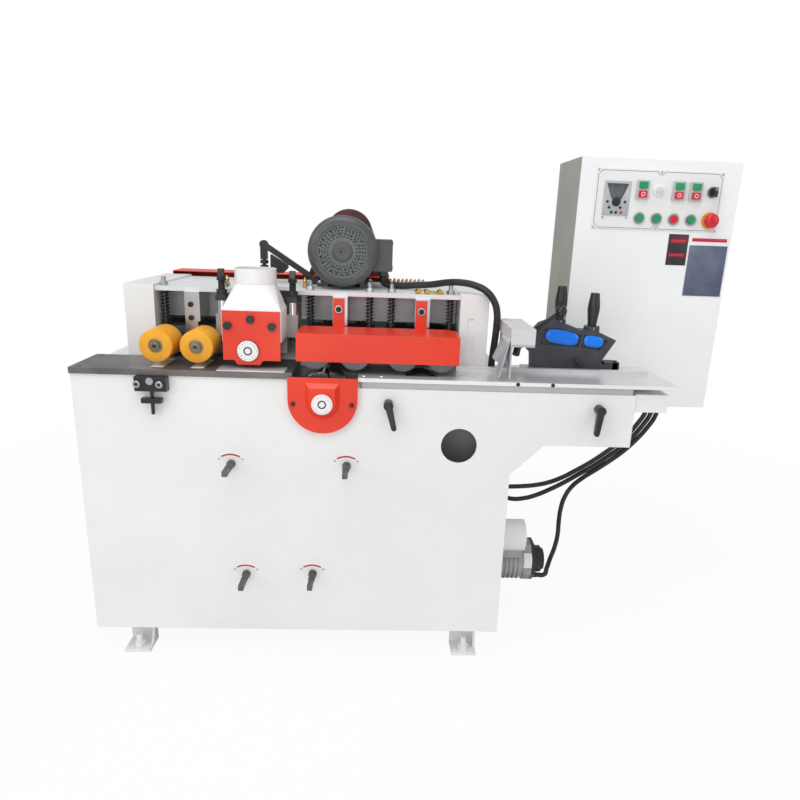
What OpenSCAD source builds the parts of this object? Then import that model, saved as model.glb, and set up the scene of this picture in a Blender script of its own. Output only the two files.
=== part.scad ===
// Dowel making machine: a sheet metal cabinet carries a lower and an upper cutter head,
// two sprung feed units, a sprung outfeed unit, a lifting infeed table and a control cabinet.
// Stock runs along X from the infeed table on the right to the outfeed table on the left.

/* [Base cabinet] */
// Length of the main cabinet body
base_l = 1000; // [980:1:1100]
// Depth of the main cabinet body
base_d = 520; // [500:1:600]
// Thickness of the cabinet sheet
sheet = 3; // [2:0.5:4]
// Height of the four angle feet
foot_h = 75; // [50:1:120]
// Width of an angle foot
foot_w = 64; // [50:1:80]
// Height of the cabinet front on the outfeed side, above the floor
panel_top = 723; // [700:1:760]
// Drop of the cabinet front on the infeed side
infeed_drop = 18; // [17:0.5:24]
// Length of the infeed extension beyond the main body
ext_l = 279; // [270:1:300]
// Height of the extension front
ext_h = 126; // [110:1:160]
// Depth of the extension
ext_d = 311; // [300:1:340]
// Radius of the round inspection hole in the front
port_r = 42; // [20:1:55]

/* [Tables] */
// Thickness of the outfeed table plate
outfeed_t = 14; // [10:0.5:16]
// Length of the outfeed table
outfeed_l = 491; // [488:0.5:492]
// Depth of both tables in front of the head frame
table_d = 153; // [150:0.5:154]
// Height of the outfeed table above the infeed table
cut_depth = 7; // [3:0.5:8]
// Thickness of the infeed table plate
infeed_t = 9; // [6:0.5:10]
// Left end of the infeed table
infeed_x0 = 638; // [636:1:644]
// Reach of the infeed table beyond the main cabinet
infeed_reach = 370; // [320:1:420]
// Depth of the infeed table beyond the head frame
infeed_wide = 210; // [205:1:230]
// Travel of the infeed table below its rest height
infeed_travel = 6; // [2:0.5:7]
// Depth of the fence rail strip
rail_w = 15; // [8:1:20]
// Height of the fence rail strip
rail_h = 10; // [6:1:16]

/* [Head frame] */
// Height of the top plate's underside above the outfeed table
head_room = 156; // [150:1:180]
// Thickness of the top plate
plate_t = 10; // [8:1:14]
// Left face of the left column
column_x0 = 73; // [60:1:80]
// Width of the left column
left_column_w = 70; // [60:1:71]
// Distance of the right column's left face from the cabinet's right side
column_inset = 122; // [116:1:124]
// Width of the right column
right_column_w = 70; // [60:1:71]
// Front face of both columns, behind the cabinet front
column_y0 = 152; // [151:0.5:156]
// Back face of the rear beam
frame_y1 = 470; // [460:1:480]

/* [Press units] */
// Centre of the outfeed unit
outfeed_unit_x = 229; // [226:0.5:232]
// Centre of the left feed unit
feed_left_x = 583; // [580:0.5:586]
// Centre of the right feed unit
feed_right_x = 783; // [780:0.5:785]
// Half distance between the two shafts of a unit
roller_half = 45; // [43:0.5:48]
// Half distance between the two springs of a unit
spring_half = 73; // [68:0.5:73]
// Radius of a yellow outfeed roller
yellow_r = 37; // [30:0.5:39]
// Radius of a toothed feed wheel
feed_r = 36; // [30:0.5:38]
// Number of teeth on a feed wheel
feed_teeth = 36; // [24:1:48]
// Length of a yellow roller
yellow_l = 82; // [60:1:84]
// Lift of a press unit against its springs
unit_lift = 10; // [4:0.5:12]
// Radius of the roller shafts
roller_shaft_r = 10; // [8:0.5:12]
// Mean radius of a press spring
spring_r = 8.8; // [8:0.1:10]
// Radius of the spring wire
wire_r = 1.7; // [1.2:0.1:2]
// Turns of a press spring
spring_turns = 11; // [8:1:12]
// Radius of the spring rods
spring_rod_r = 5.5; // [4:0.5:6]

/* [Cutter heads] */
// Centre of the upper cutter
upper_x = 398; // [396:0.5:400]
// Height of the upper cutter's axis above the outfeed table
upper_up = 63; // [62:0.5:66]
// Radius of the upper cutter over its knives
upper_knife_r = 56; // [50:0.5:58]
// Lift of the upper head
head_lift = 20; // [5:1:24]
// Centre of the lower cutter
lower_x = 559; // [557:0.5:561]
// Radius of the lower cutter over its knives
lower_knife_r = 65; // [60:0.5:66]
// Width of both cutters
cutter_w = 60; // [40:1:64]
// Radius of the cutter spindles
spindle_r = 14; // [12:0.5:16]
// Diameter of the dowel groove in the knives
groove_d = 14; // [8:1:16]
// Distance between two dowel grooves
groove_pitch = 19; // [18:0.5:20]
// Radius of the dust port
port_out_r = 47; // [40:0.5:48]
// Depth of the red cover over the lower cutter
lower_cover_d = 22; // [16:1:28]

/* [Motors] */
// Shaft height of the top motor
motor_h = 93; // [92:1:100]
// Radius of the top motor's fan cover
motor_r = 86; // [80:0.5:88]
// Centre of the top motor
motor_x = 587; // [580:1:592]
// Radius of the top motor's belt pulley
motor_pulley_r = 60; // [45:1:66]
// Radius of the upper cutter's belt pulley
cutter_pulley_r = 45; // [35:1:50]

/* [Control cabinet] */
// Gap between the main cabinet and the control cabinet
control_gap = 182; // [170:1:190]
// Width of the control cabinet
control_w = 418; // [400:1:460]
// Depth of the control cabinet
control_d = 215; // [180:1:240]
// Underside of the control cabinet above the floor
control_z0 = 598; // [590:1:610]
// Height of the control cabinet
control_h = 649; // [620:1:700]
// Distance between the push buttons
button_pitch = 45.5; // [42:0.5:47]
// Radius of a push button
button_r = 9.5; // [8:0.5:10]
// Travel of a push button
button_travel = 4; // [2:0.5:5]

/* [Controls on the front] */
// Length of the adjusting shafts in front of the cabinet
adjuster_out = 70; // [50:1:80]
// Radius of the adjusting shafts
adjuster_r = 8; // [6:0.5:9]
// Length of a clamp lever's arm
lever_l = 52; // [40:1:60]

/* [Hidden] */
$fn = 48;
running = 0.05;
clear = 0.3;
eps = 1;

// places tied to the main cabinet's right side
right_column_x0 = base_l - column_inset;
control_x0 = base_l + control_gap;
infeed_x1 = base_l + infeed_reach;

// heights
outfeed_z = panel_top + outfeed_t;
low_top = panel_top - infeed_drop;
infeed_z = outfeed_z - cut_depth;
strip_z = infeed_z - infeed_t;
plate_z = outfeed_z + head_room;
plate_top = plate_z + plate_t;
column_top = plate_top + 5;
ext_z = low_top - ext_h;
chamfer = 75;
ext_x1 = base_l + ext_l;
upper_z = outfeed_z + upper_up;
lower_z = outfeed_z - 1 - lower_knife_r;
motor_z = plate_top + motor_h;

// table and frame places
table_y0 = -5;
table_y1 = table_y0 + table_d;
wide_y1 = table_y0 + infeed_wide;
table_over = 1;
outfeed_x1 = outfeed_l - table_over;
left_in = column_x0 + left_column_w;
beam_t = 15;
notch_x0 = 330;
notch_x1 = 466;
notch_y1 = 250;
guide_w = 30;
guide_y0 = 153;
guide_t = 22;
guide_z0 = outfeed_z + 20;

// press units
unit_half = 84;
unit_y0 = 160;
unit_y1 = 300;
unit_z0 = outfeed_z + 8;
unit_z1 = outfeed_z + 70;
unit_spring_y = 190;
yellow_z = outfeed_z + 11 + yellow_r;
feed_z = infeed_z + 8 + feed_r;
wheel_y0 = 32;
feed_w = 90;
shaft_y1 = 372;
sprocket_y0 = 340;
sprocket_w = 12;
sprocket_r = 34;
spring_h = plate_z - unit_z1;
nut_h = 9;
rod_up = 21;

// lower feed roller and the slots for it
lower_roller_r = 45;
lower_roller_z = infeed_z + 1 - lower_roller_r;
roller_slot = 37;
roller_y0 = 49;
roller_y1 = 120;
bed_t = 31;
bed_x0 = infeed_x0 + 8;
bed_x1 = ext_x1 - sheet - 4;
bed_y0 = sheet + 2;
bed_y1 = table_y1 - 4;
bulkhead_y = 155;
bulkhead_t = 8;
bulkhead_z0 = 330;
wear_r = 64;
wear_half = 16;
wear_up = 2;

// cutter heads
cutter_y0 = 40;
cutter_y1 = cutter_y0 + cutter_w;
hood_x0 = 332;
hood_x1 = 464;
hood_y0 = 25;
hood_y1 = 112;
hood_t = 3;
hood_low = outfeed_z + 63;
hood_high = outfeed_z + 131;
spigot_z0 = outfeed_z + 187;
spigot_step = 1.5;
spigot_z1 = outfeed_z + 221;
port_x = 397;
port_y = 95;
post_left_x = 312;
post_right_x = 477;
post_y = 121;
post_r = 11;
screw_r = 7;
block_half = 13;
block_y0 = 107;
block_y1 = 135;
block_z0 = outfeed_z + 61;
block_z1 = outfeed_z + 113;
block_floor = 5;
clamp_z0 = plate_z - 13;
clamp_half = 12;
backplate_y0 = 112;
backplate_y1 = 130;
backplate_z0 = outfeed_z + 22;
housing_y1 = 300;
upper_shaft_y1 = base_d + 36;
pulley_y0 = base_d - 8;
pulley_w = 40;
lower_open_x0 = 486;
lower_open_x1 = 636;
lower_pulley_y0 = 112;
lower_pulley_w = 36;
lower_pulley_r = 26;
lower_housing_y1 = 300;
lower_cover_half = 78.5;
lower_cover_z = outfeed_z - 59.5;
lower_cover_z1 = outfeed_z - 8;
lower_cover_y0 = table_y0 - 3.3;
boss_half = 38;

// drive covers behind the head frame
cover_y0 = frame_y1;
cover_y1 = base_d + 40;
cover_x0 = 90;
cover_x1 = 704;
cover_low = 640;
cover_high = plate_top + 14;
cover_t = 2;
guard_y0 = base_d - 23;
guard_r = 64;
guard_z = motor_z + 42;
guard_foot = 117;

// top motor
fan_y0 = 200;
fan_y1 = 264;
stator_y1 = 420;
shield_y1 = 440;
stator_r = 78;
motor_shaft_r = 12;

// roller guard
guard_x0 = 496;
guard_x1 = 867;
guard_front = 20;
guard_back = 137;
guard_z0 = outfeed_z + 22;
guard_z1 = outfeed_z + 86;
guard_t = 2.5;

// infeed stand
stand_y0 = 150;
stand_y1 = 198;
grip_left_x = base_l + 129;
grip_right_x = base_l + 212;
grip_y = 174;
ball_x = base_l + 30;
ball_y = 162;
ball_z = infeed_z + 67;
ball_r = 19;
ball_pin_r = 7;

// front controls
lever_left_x = 708;
lever_right_x = ext_x1 - 85;
lever_z = 671;
lever_stud_r = 5;
leg_y0 = sheet + 3;
leg_y1 = leg_y0 + 10;
pin_r = 6;
grip_left_z = infeed_z + 122;
grip_right_z = infeed_z + 108;
adjusters = [[347, 517], [614, 518], [373, 231], [534, 234]];
bush_l = 40;
port_at = [base_l - 125, 573];

// control cabinet
control_x1 = control_x0 + control_w;
control_y0 = ext_d;
control_y1 = control_y0 + control_d;
control_z1 = control_z0 + control_h;
control_t = 2;
door_t = 2.5;
hinge_r = 4;
panel_x0 = control_x0 + 43;
panel_w = 331;
panel_h = 148;
panel_z0 = control_z1 - 173;
panel_t = 2;
button_x0 = panel_x0 + 121;
button_row = panel_z0 + 29;
upper_row = panel_z0 + 99;
bezel_r = 14.5;
bezel_h = 4;
twin_w = 33;
twin_h = 46;
twin_d = 7;
estop_x = panel_x0 + 308;
selector_x = panel_x0 + 305;
stem_r = 6;
hinge_heights = [control_z0 + 60, control_z1 - 110];

// overall reach, used for the origin under the middle of the machine
x_min = -table_over;
x_max = control_x1 + 2 * hinge_r + clear;
y_min = -adjuster_out;
y_max = max(cover_y1, control_y1);
mid_x = (x_min + x_max) / 2;
mid_y = (y_min + y_max) / 2;

// cable routes: the conduit's from the cabinet's left side, the others from its right side
cable_r = 6.5;
conduit_r = 8.5;
gland_h = 12;
conduit_route = [
    [687, 300, 935], [687, 300, 921], [698, 296, 913], [732, 285, 912], [775, 264, 916],
    [815, 240, 922], [850, 214, 930], [882, 186, 933], [912, 161, 929], [938, 142, 917],
    [957, 137, 894], [966, 139, 866], [968, 146, 836], [968, 153, 805], [967, 162, 772],
    [966, 168, 740], [966, 168, 717]];
trunk_route = [for (p = [
    [470, 352, 586], [470, 352, 565], [450, 350, 528], [426, 346, 497], [394, 338, 467],
    [354, 328, 440], [310, 318, 412], [266, 310, 388], [224, 304, 364], [185, 300, 344],
    [148, 298, 327], [112, 297, 316], [76, 297, 313], [44, 300, 320], [12, 300, 320]]) p + [base_l, 0, 0]];
upper_route = [for (p = [
    [454, 352, 586], [454, 352, 568], [437, 350, 537], [415, 346, 508], [384, 338, 479],
    [345, 328, 452], [301, 318, 424], [257, 310, 400], [214, 304, 378], [176, 301, 364],
    [140, 300, 356], [106, 300, 352], [70, 300, 350], [38, 300, 350], [12, 300, 350]]) p + [base_l, 0, 0]];
branch_route = [for (p = [
    [486, 352, 586], [486, 352, 562], [463, 350, 519], [436, 346, 486], [403, 338, 456],
    [363, 328, 428], [319, 318, 401], [278, 310, 376], [248, 305, 350], [230, 302, 318],
    [222, 300, 282], [220, 298, 244], [219, 292, 206], [210, 278, 172], [192, 252, 146],
    [176, 220, 134], [160, 190, 130], [139, 190, 130]]) p + [base_l, 0, 0]];

conduit_end = conduit_route[len(conduit_route) - 1];
trunk_end = trunk_route[len(trunk_route) - 1];
upper_end = upper_route[len(upper_route) - 1];
branch_end = branch_route[len(branch_route) - 1];

function unit(v) = v / norm(v);

// moves the machine so that its origin lies on the floor under its middle
module placed() {
    translate([-mid_x, -mid_y, 0]) children();
}

module block(x0, x1, y0, y1, z0, z1) {
    translate([x0, y0, z0]) cube([x1 - x0, y1 - y0, z1 - z0]);
}

module rod_y(x, z, r, y0, y1) {
    translate([x, y0, z]) rotate([-90, 0, 0]) cylinder(r = r, h = y1 - y0);
}

module rod_z(x, y, r, z0, z1) {
    translate([x, y, z0]) cylinder(r = r, h = z1 - z0);
}

module rod_x(y, z, r, x0, x1) {
    translate([x0, y, z]) rotate([0, 90, 0]) cylinder(r = r, h = x1 - x0);
}

// an outline in X and Z, run from y0 back to y1
module prism_y(y0, y1) {
    translate([0, y1, 0]) rotate([90, 0, 0]) linear_extrude(y1 - y0) children();
}

// a revolved shape whose axis runs back along Y from y0
module turned_y(x, z, y0) {
    translate([x, y0, z]) rotate([-90, 0, 0]) rotate_extrude() children();
}

module hex_y(x, z, across, y0, y1) {
    translate([x, y0, z]) rotate([-90, 0, 0]) cylinder(r = across / sqrt(3), h = y1 - y0, $fn = 6);
}

module hex_z(x, y, across, z0, z1) {
    translate([x, y, z0]) cylinder(r = across / sqrt(3), h = z1 - z0, $fn = 6);
}

// a tube of given radius along a list of points, its rings turned about a fixed direction
module tube(path, r, sides, side) {
    last = len(path) - 1;
    rings = [for (i = [0:last])
        let (t = unit(path[min(i + 1, last)] - path[max(i - 1, 0)]),
             a = unit(cross(t, side)), b = cross(t, a))
        for (k = [0:sides - 1]) path[i] + r * (a * cos(360 * k / sides) + b * sin(360 * k / sides))];
    walls = [for (i = [0:last - 1]) for (k = [0:sides - 1])
        let (p = i * sides + k, q = i * sides + (k + 1) % sides)
        for (f = [[p, q, p + sides], [q, q + sides, p + sides]]) f];
    caps = [for (k = [1:sides - 2])
        for (f = [[0, k + 1, k], [last * sides, last * sides + k, last * sides + k + 1]]) f];
    polyhedron(rings, concat(walls, caps));
}

// base cabinet

module cabinet_body(inset) {
    prism_y(inset, base_d - inset)
        polygon([[inset, foot_h + inset], [base_l - inset, foot_h + inset],
            [base_l - inset, low_top - inset], [lower_x - inset, low_top - inset],
            [lower_x - inset, panel_top - inset], [inset, panel_top - inset]]);
}

module cabinet_extension() {
    prism_y(0, ext_d)
        polygon([[base_l - eps, ext_z - chamfer - eps], [base_l + chamfer, ext_z], [ext_x1, ext_z],
            [ext_x1, low_top], [base_l - eps, low_top]]);
}

module extension_room() {
    slope = sheet * (sqrt(2) - 1);
    prism_y(sheet, ext_d - sheet)
        polygon([[base_l - sheet - eps, ext_z + sheet - chamfer + slope - sheet - eps],
            [base_l + chamfer - slope, ext_z + sheet], [ext_x1 - sheet, ext_z + sheet],
            [ext_x1 - sheet, low_top - sheet], [base_l - sheet - eps, low_top - sheet]]);
}

module side_bracket() {
    bracket_l = 77;
    bracket_h = 42;
    bracket_z1 = low_top + 2;
    difference() {
        block(ext_x1, ext_x1 + bracket_l, 4, table_y1, bracket_z1 - bracket_h, bracket_z1);
        block(ext_x1 + sheet, ext_x1 + bracket_l - sheet, 4 + sheet, table_y1 + eps,
            bracket_z1 - bracket_h - eps, bracket_z1 - sheet);
    }
}

module base_cabinet() placed() color("whitesmoke") {
    difference() {
        union() {
            cabinet_body(0);
            cabinet_extension();
        }
        difference() {
            union() {
                cabinet_body(sheet);
                extension_room();
            }
            block(sheet, base_l - sheet, bulkhead_y, bulkhead_y + bulkhead_t,
                bulkhead_z0, panel_top);
            for (a = adjusters) rod_y(a[0], a[1], adjuster_r + 6, 0, sheet + bush_l);
        }
        // opening for the infeed table's bed
        block(bed_x0 - 2, bed_x1 + 2, bed_y0 - 1, bed_y1 + 2, low_top - sheet - eps, low_top + eps);
        // opening over the lower cutter
        block(lower_open_x0, lower_open_x1, 12, bulkhead_y - 5, low_top - sheet - eps,
            panel_top + eps);
        rod_y(lower_x, lower_z, lower_knife_r + 5, -eps, sheet + eps);
        rod_y(lower_x, lower_z, spindle_r + 10, bulkhead_y - eps, bulkhead_y + bulkhead_t + eps);
        rod_y(feed_right_x, lower_roller_z, roller_shaft_r + running, bulkhead_y - eps,
            bulkhead_y + bulkhead_t + eps);
        rod_y(port_at[0], port_at[1], port_r, -eps, sheet + eps);
        for (a = adjusters) rod_y(a[0], a[1], adjuster_r + running, -eps, sheet + bush_l + eps);
        for (x = [lever_left_x, lever_right_x])
            rod_y(x, lever_z, lever_stud_r + running, -eps, sheet + eps);
        // cable entries in the right side
        for (e = [trunk_end, upper_end])
            rod_x(e[1], e[2], cable_r + 3, base_l - sheet - eps, base_l + eps);
    }
    side_bracket();
    for (e = [trunk_end, upper_end]) rod_x(e[1], e[2], cable_r + 3, base_l - sheet, e[0]);
    rod_z(conduit_end[0], conduit_end[1], conduit_r + 3, low_top, conduit_end[2]);
}

// four angle feet with a levelling bolt each

module mounting_feet() placed() color("gainsboro") {
    foot_t = 6;
    tread = 62;
    for (x = [59, base_l - foot_w - 48]) for (back = [0, 1])
        translate([x, back * base_d, 0]) mirror([0, back, 0]) {
            difference() {
                block(0, foot_w, 4, 4 + tread, 0, foot_t);
                rod_z(foot_w / 2, 26, 8, -eps, foot_t + eps);
            }
            block(0, foot_w, tread - 2, tread + 4, foot_t, foot_h);
            block(0, foot_w, tread + 4, tread + 34, foot_h - foot_t, foot_h);
            translate([foot_w - foot_t, 0, 0]) rotate([90, 0, 90]) linear_extrude(foot_t)
                polygon([[30, foot_t], [tread - 2, foot_t], [tread - 2, foot_h - 8]]);
            rod_z(foot_w / 2, 26, 7.9, 0, 40);
            difference() {
                hex_z(foot_w / 2, 26, 24, foot_t, foot_t + 13);
                rod_z(foot_w / 2, 26, 7.95, 0, 60);
            }
        }
}

// outfeed table with two wear pieces let into it under the yellow rollers

module wear_slot(grow) {
    for (s = [-1, 1])
        block(outfeed_unit_x + s * roller_half - wear_half - grow,
            outfeed_unit_x + s * roller_half + wear_half + grow, 20 - grow, 112 + grow,
            panel_top - grow * 20, outfeed_z + 5);
}

module outfeed_table() placed() {
    color("dimgray") difference() {
        block(-table_over, outfeed_x1, table_y0, table_y1 - 2, panel_top, outfeed_z);
        wear_slot(clear);
        for (x = [18, 52]) for (y = [12, 130])
            translate([x, y, outfeed_z - 4]) cylinder(r1 = 3, r2 = 6, h = 4.5);
    }
    color("ivory") intersection() {
        wear_slot(0);
        for (s = [-1, 1])
            rod_y(outfeed_unit_x + s * roller_half, outfeed_z + wear_up - wear_r, wear_r, 0, 200);
    }
}

// head frame: two closed sheet columns and the rear beam between them

module column(x0, w, z0) {
    difference() {
        block(x0, x0 + w, column_y0, frame_y1, z0, column_top);
        block(x0 + sheet, x0 + w - sheet, column_y0 + sheet, frame_y1 - sheet, z0 - eps,
            column_top - sheet);
    }
}

module head_frame() placed() color("whitesmoke") {
    column(column_x0, left_column_w, panel_top);
    difference() {
        column(right_column_x0, right_column_w, low_top);
        // recessed slot on the front of the right column
        block(right_column_x0 + 20, right_column_x0 + 35, column_y0 - eps, column_y0 + sheet - 1,
            outfeed_z + 28, outfeed_z + 112);
    }
    difference() {
        union() {
            block(left_in, lower_x + eps, frame_y1 - beam_t, frame_y1, panel_top, plate_z);
            block(lower_x, right_column_x0, frame_y1 - beam_t, frame_y1, low_top, plate_z);
        }
        // slot for the upper spindle, as long as the head's lift
        block(upper_x - spindle_r - 6, upper_x + spindle_r + 6, frame_y1 - beam_t - eps,
            frame_y1 + eps, upper_z - spindle_r - 6, upper_z + head_lift + spindle_r + 6);
    }
}

// top plate with its three hanging guide bars

module plate_holes() {
    for (x = [outfeed_unit_x, feed_left_x, feed_right_x]) for (s = [-1, 1])
        rod_z(x + s * spring_half, unit_spring_y, spring_rod_r + running, plate_z - eps,
            plate_top + eps);
}

module top_plate() placed() {
    corner = 14;
    color("lightgray") difference() {
        union() {
            block(left_in, notch_x0 - corner, unit_y0, frame_y1, plate_z, plate_top);
            block(notch_x0 - corner - eps, notch_x1 + corner + eps, notch_y1, frame_y1,
                plate_z, plate_top);
            block(notch_x1 + corner, right_column_x0, unit_y0, frame_y1, plate_z, plate_top);
            for (x = [notch_x0 - corner, notch_x1 + corner])
                rod_z(x, unit_y0 + corner, corner, plate_z, plate_top);
            block(notch_x0 - corner, notch_x0, unit_y0 + corner, notch_y1 + eps, plate_z, plate_top);
            block(notch_x1, notch_x1 + corner, unit_y0 + corner, notch_y1 + eps, plate_z, plate_top);
        }
        plate_holes();
    }
    color("silver") for (x = [outfeed_unit_x, feed_left_x, feed_right_x])
        difference() {
            union() {
                block(x - guide_w / 2, x + guide_w / 2, guide_y0, guide_y0 + guide_t,
                    guide_z0, plate_z);
                block(x + guide_w / 2, x + guide_w / 2 + 6, guide_y0, guide_y0 + 90,
                    unit_z1 + unit_lift + 5, plate_z);
            }
            for (z = [plate_z - 30, plate_z - 62])
                rod_y(x, z, 4, guide_y0 - eps, guide_y0 + 12);
        }
}

// long red guard over the feed wheels, screwed to the guide bars

module roller_guard() placed() color("orangered") {
    ear_w = 28;
    difference() {
        block(guard_x0, guard_x1, guard_front, guard_back, guard_z0, guard_z1);
        block(guard_x0 + guard_t, guard_x1 - guard_t, guard_front + guard_t, guard_back + eps,
            guard_z0 - eps, guard_z1 - guard_t);
        // clipped corner at the right end
        translate([guard_x1, guard_back, guard_z0]) rotate([0, 0, 45])
            cube([30, 30, 400], center = true);
    }
    for (x = [feed_left_x, feed_right_x]) {
        block(x - ear_w / 2, x + ear_w / 2, guard_back, guide_y0, guard_z1 - guard_t, guard_z1);
        difference() {
            block(x - ear_w / 2, x + ear_w / 2, guide_y0 - guard_t, guide_y0, guard_z1, plate_z - 4);
            rod_y(x, plate_z - 30, 4, guide_y0 - 10, guide_y0 + eps);
        }
        rod_y(x, plate_z - 30, 7, guide_y0 - guard_t - 3, guide_y0 - guard_t);
    }
}

// red sheet covers behind the head frame: the long drive cover and the belt guard above it

module guard_outline(inset) {
    drop = guard_z - cover_high;
    r = guard_r - inset;
    // the sloping sides meet the round top where they touch it
    tangent = acos(guard_r / norm([guard_foot, drop])) - atan2(drop, guard_foot);
    side_x = (r - 0.5) * cos(tangent);
    side_z = guard_z + (r - 0.5) * sin(tangent);
    foot = guard_foot - inset;
    translate([motor_x, guard_z]) circle(r = r, $fn = 72);
    translate([motor_x, 0]) polygon([[-side_x, side_z], [side_x, side_z],
        [foot, cover_high - 2 * inset], [-foot, cover_high - 2 * inset]]);
}

module drive_covers() placed() {
    guard_y1 = cover_y1 - 2;
    passage = guard_foot - 10;
    color("orangered") difference() {
        union() {
            block(cover_x0, cover_x1, base_d, cover_y1, cover_low, cover_high);
            block(cover_x0, cover_x1, cover_y0, base_d, panel_top, cover_high);
        }
        block(cover_x0 + cover_t, cover_x1 - cover_t, base_d - eps, cover_y1 - cover_t,
            cover_low + cover_t, cover_high - cover_t);
        block(cover_x0 + cover_t, cover_x1 - cover_t, cover_y0 - eps, base_d + eps,
            panel_top - eps, cover_high - cover_t);
        block(motor_x - passage, motor_x + passage, guard_y0 + cover_t, guard_y1 - cover_t,
            cover_high - cover_t - eps, cover_high + eps);
    }
    color("firebrick") difference() {
        prism_y(guard_y0, guard_y1) difference() {
            guard_outline(0);
            translate([motor_x - 2 * guard_foot, 0]) square([4 * guard_foot, cover_high]);
        }
        prism_y(guard_y0 + cover_t, guard_y1 - cover_t) guard_outline(cover_t);
        rod_y(motor_x, motor_z, motor_shaft_r + 8, guard_y0 - eps, guard_y0 + cover_t + eps);
    }
}

// finned top motor on its feet, with terminal box and perforated fan cover

module cup_profile(r, edge, y0, y1) {
    translate([0, y0 + edge]) square([r, y1 - y0 - edge]);
    translate([0, y0]) square([r - edge, edge + eps]);
    translate([r - edge, y0 + edge]) circle(r = edge);
}

module fan_cover() {
    edge = 18;
    hole_r = 2.6;
    difference() {
        turned_y(motor_x, motor_z, fan_y0) difference() {
            cup_profile(motor_r, edge, 0, fan_y1 - fan_y0);
            cup_profile(motor_r - cover_t, edge - cover_t, cover_t, fan_y1 - fan_y0 + edge);
        }
        for (k = [0:23])
            rod_y(motor_x + 54 * cos(15 * k), motor_z + 54 * sin(15 * k), hole_r,
                fan_y0 - eps, fan_y0 + cover_t + eps);
        for (k = [0:17])
            rod_y(motor_x + 43 * cos(20 * k), motor_z + 43 * sin(20 * k), hole_r,
                fan_y0 - eps, fan_y0 + cover_t + eps);
        rod_y(motor_x, motor_z, hole_r + 1, fan_y0 - eps, fan_y0 + cover_t + eps);
    }
}

module top_motor() placed() {
    foot_in = 40;
    foot_out = 70;
    box_x0 = motor_x + stator_r;
    box_z0 = motor_z - 49;
    color("dimgray") fan_cover();
    color("dimgray") difference() {
        union() {
            rod_y(motor_x, motor_z, stator_r - 6, fan_y1 - 4, stator_y1);
            rod_y(motor_x, motor_z, motor_r - cover_t, fan_y1 - 6, fan_y1);
            rod_y(motor_x, motor_z, stator_r, stator_y1 - 10, shield_y1);
            for (k = [0:23]) translate([motor_x, 0, motor_z]) rotate([0, 15 * k + 7.5, 0])
                block(-1.5, 1.5, fan_y1 - 2, stator_y1, stator_r - 8, stator_r);
            for (s = [-1, 1]) {
                block(motor_x + s * (foot_in + foot_out) / 2 - 15,
                    motor_x + s * (foot_in + foot_out) / 2 + 15,
                    fan_y1 + 20, stator_y1 - 20, plate_top, plate_top + 9);
                block(motor_x + s * (foot_in + 6) - 6, motor_x + s * (foot_in + 6) + 6,
                    fan_y1 + 20, stator_y1 - 20, plate_top, motor_z - 40);
            }
            block(box_x0 - 20, box_x0 + 44, fan_y1 + 2, fan_y1 + 82, box_z0, motor_z + 30);
        }
        rod_y(motor_x, motor_z, motor_shaft_r + running, fan_y1 - 20, shield_y1 + eps);
        for (s = [-1, 1]) for (y = [fan_y1 + 32, stator_y1 - 32])
            rod_z(motor_x + s * 62, y, 4, plate_top - eps, plate_top + 10);
    }
    color("black") rod_z(conduit_route[0][0], conduit_route[0][1], conduit_r + 3,
        conduit_route[0][2], box_z0);
}

// belt tension arm with its threaded stud

module tension_arm() placed() color("#26282a") {
    arm_y0 = 336;
    arm_y1 = 350;
    top_x = 372;
    top_z = plate_top + 99;
    foot_x = 505;
    foot_z = plate_top + 13;
    reach = norm([foot_x - top_x, foot_z - top_z]);
    tilt = atan2(foot_z - top_z, foot_x - top_x);
    nose_z = top_z - 38;
    arm_mid = (arm_y0 + arm_y1) / 2;
    prism_y(arm_y0, arm_y1) {
        translate([top_x, top_z]) circle(r = 11);
        translate([foot_x, foot_z]) circle(r = 9);
        translate([top_x, top_z]) rotate([0, 0, tilt]) translate([2, -7]) square([reach - 4, 14]);
        translate([top_x - 9, nose_z]) square([18, 32]);
        translate([foot_x - 12, plate_top]) square([24, 8]);
    }
    // hook that hangs from the arm, wider than the arm
    prism_y(arm_y0 - 6, arm_y1 + 6)
        polygon([[390, top_z - 25], [390, top_z - 60], [402, top_z - 72], [422, top_z - 72],
            [434, top_z - 60], [434, top_z - 51]]);
    // stud with two nuts, standing on the top plate
    rod_z(top_x, arm_mid, 5, plate_top, nose_z + 4);
    for (z = [nose_z - 11, nose_z - 24]) hex_z(top_x, arm_mid, 19, z, z + nut_h);
}

// chrome guide posts hanging from their black clamp blocks

module guide_posts() placed() {
    for (x = [post_left_x, post_right_x]) {
        color("silver") difference() {
            rod_z(x, post_y, post_r, block_z0 + block_floor + head_lift + clear, clamp_z0);
            rod_z(x, post_y, screw_r + clear, block_z0, clamp_z0 + eps);
        }
        color("#222222") difference() {
            union() {
                block(x - clamp_half, x + clamp_half, post_y - 16, unit_y0 + 18, clamp_z0, plate_z);
                rod_z(x, post_y, 12, plate_z, plate_top + 2);
            }
            rod_z(x, post_y, screw_r + running, clamp_z0 - eps, plate_top + 2 + eps);
        }
    }
}

// red cover over the lower cutter, a folded plate with a raised boss and a scale disc

module u_outline(half, x, z, z1) {
    intersection() {
        translate([x, z]) circle(r = half);
        translate([x - half, z - half]) square([2 * half, half + 1]);
    }
    translate([x - half, z]) square([2 * half, z1 - z]);
}

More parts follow.
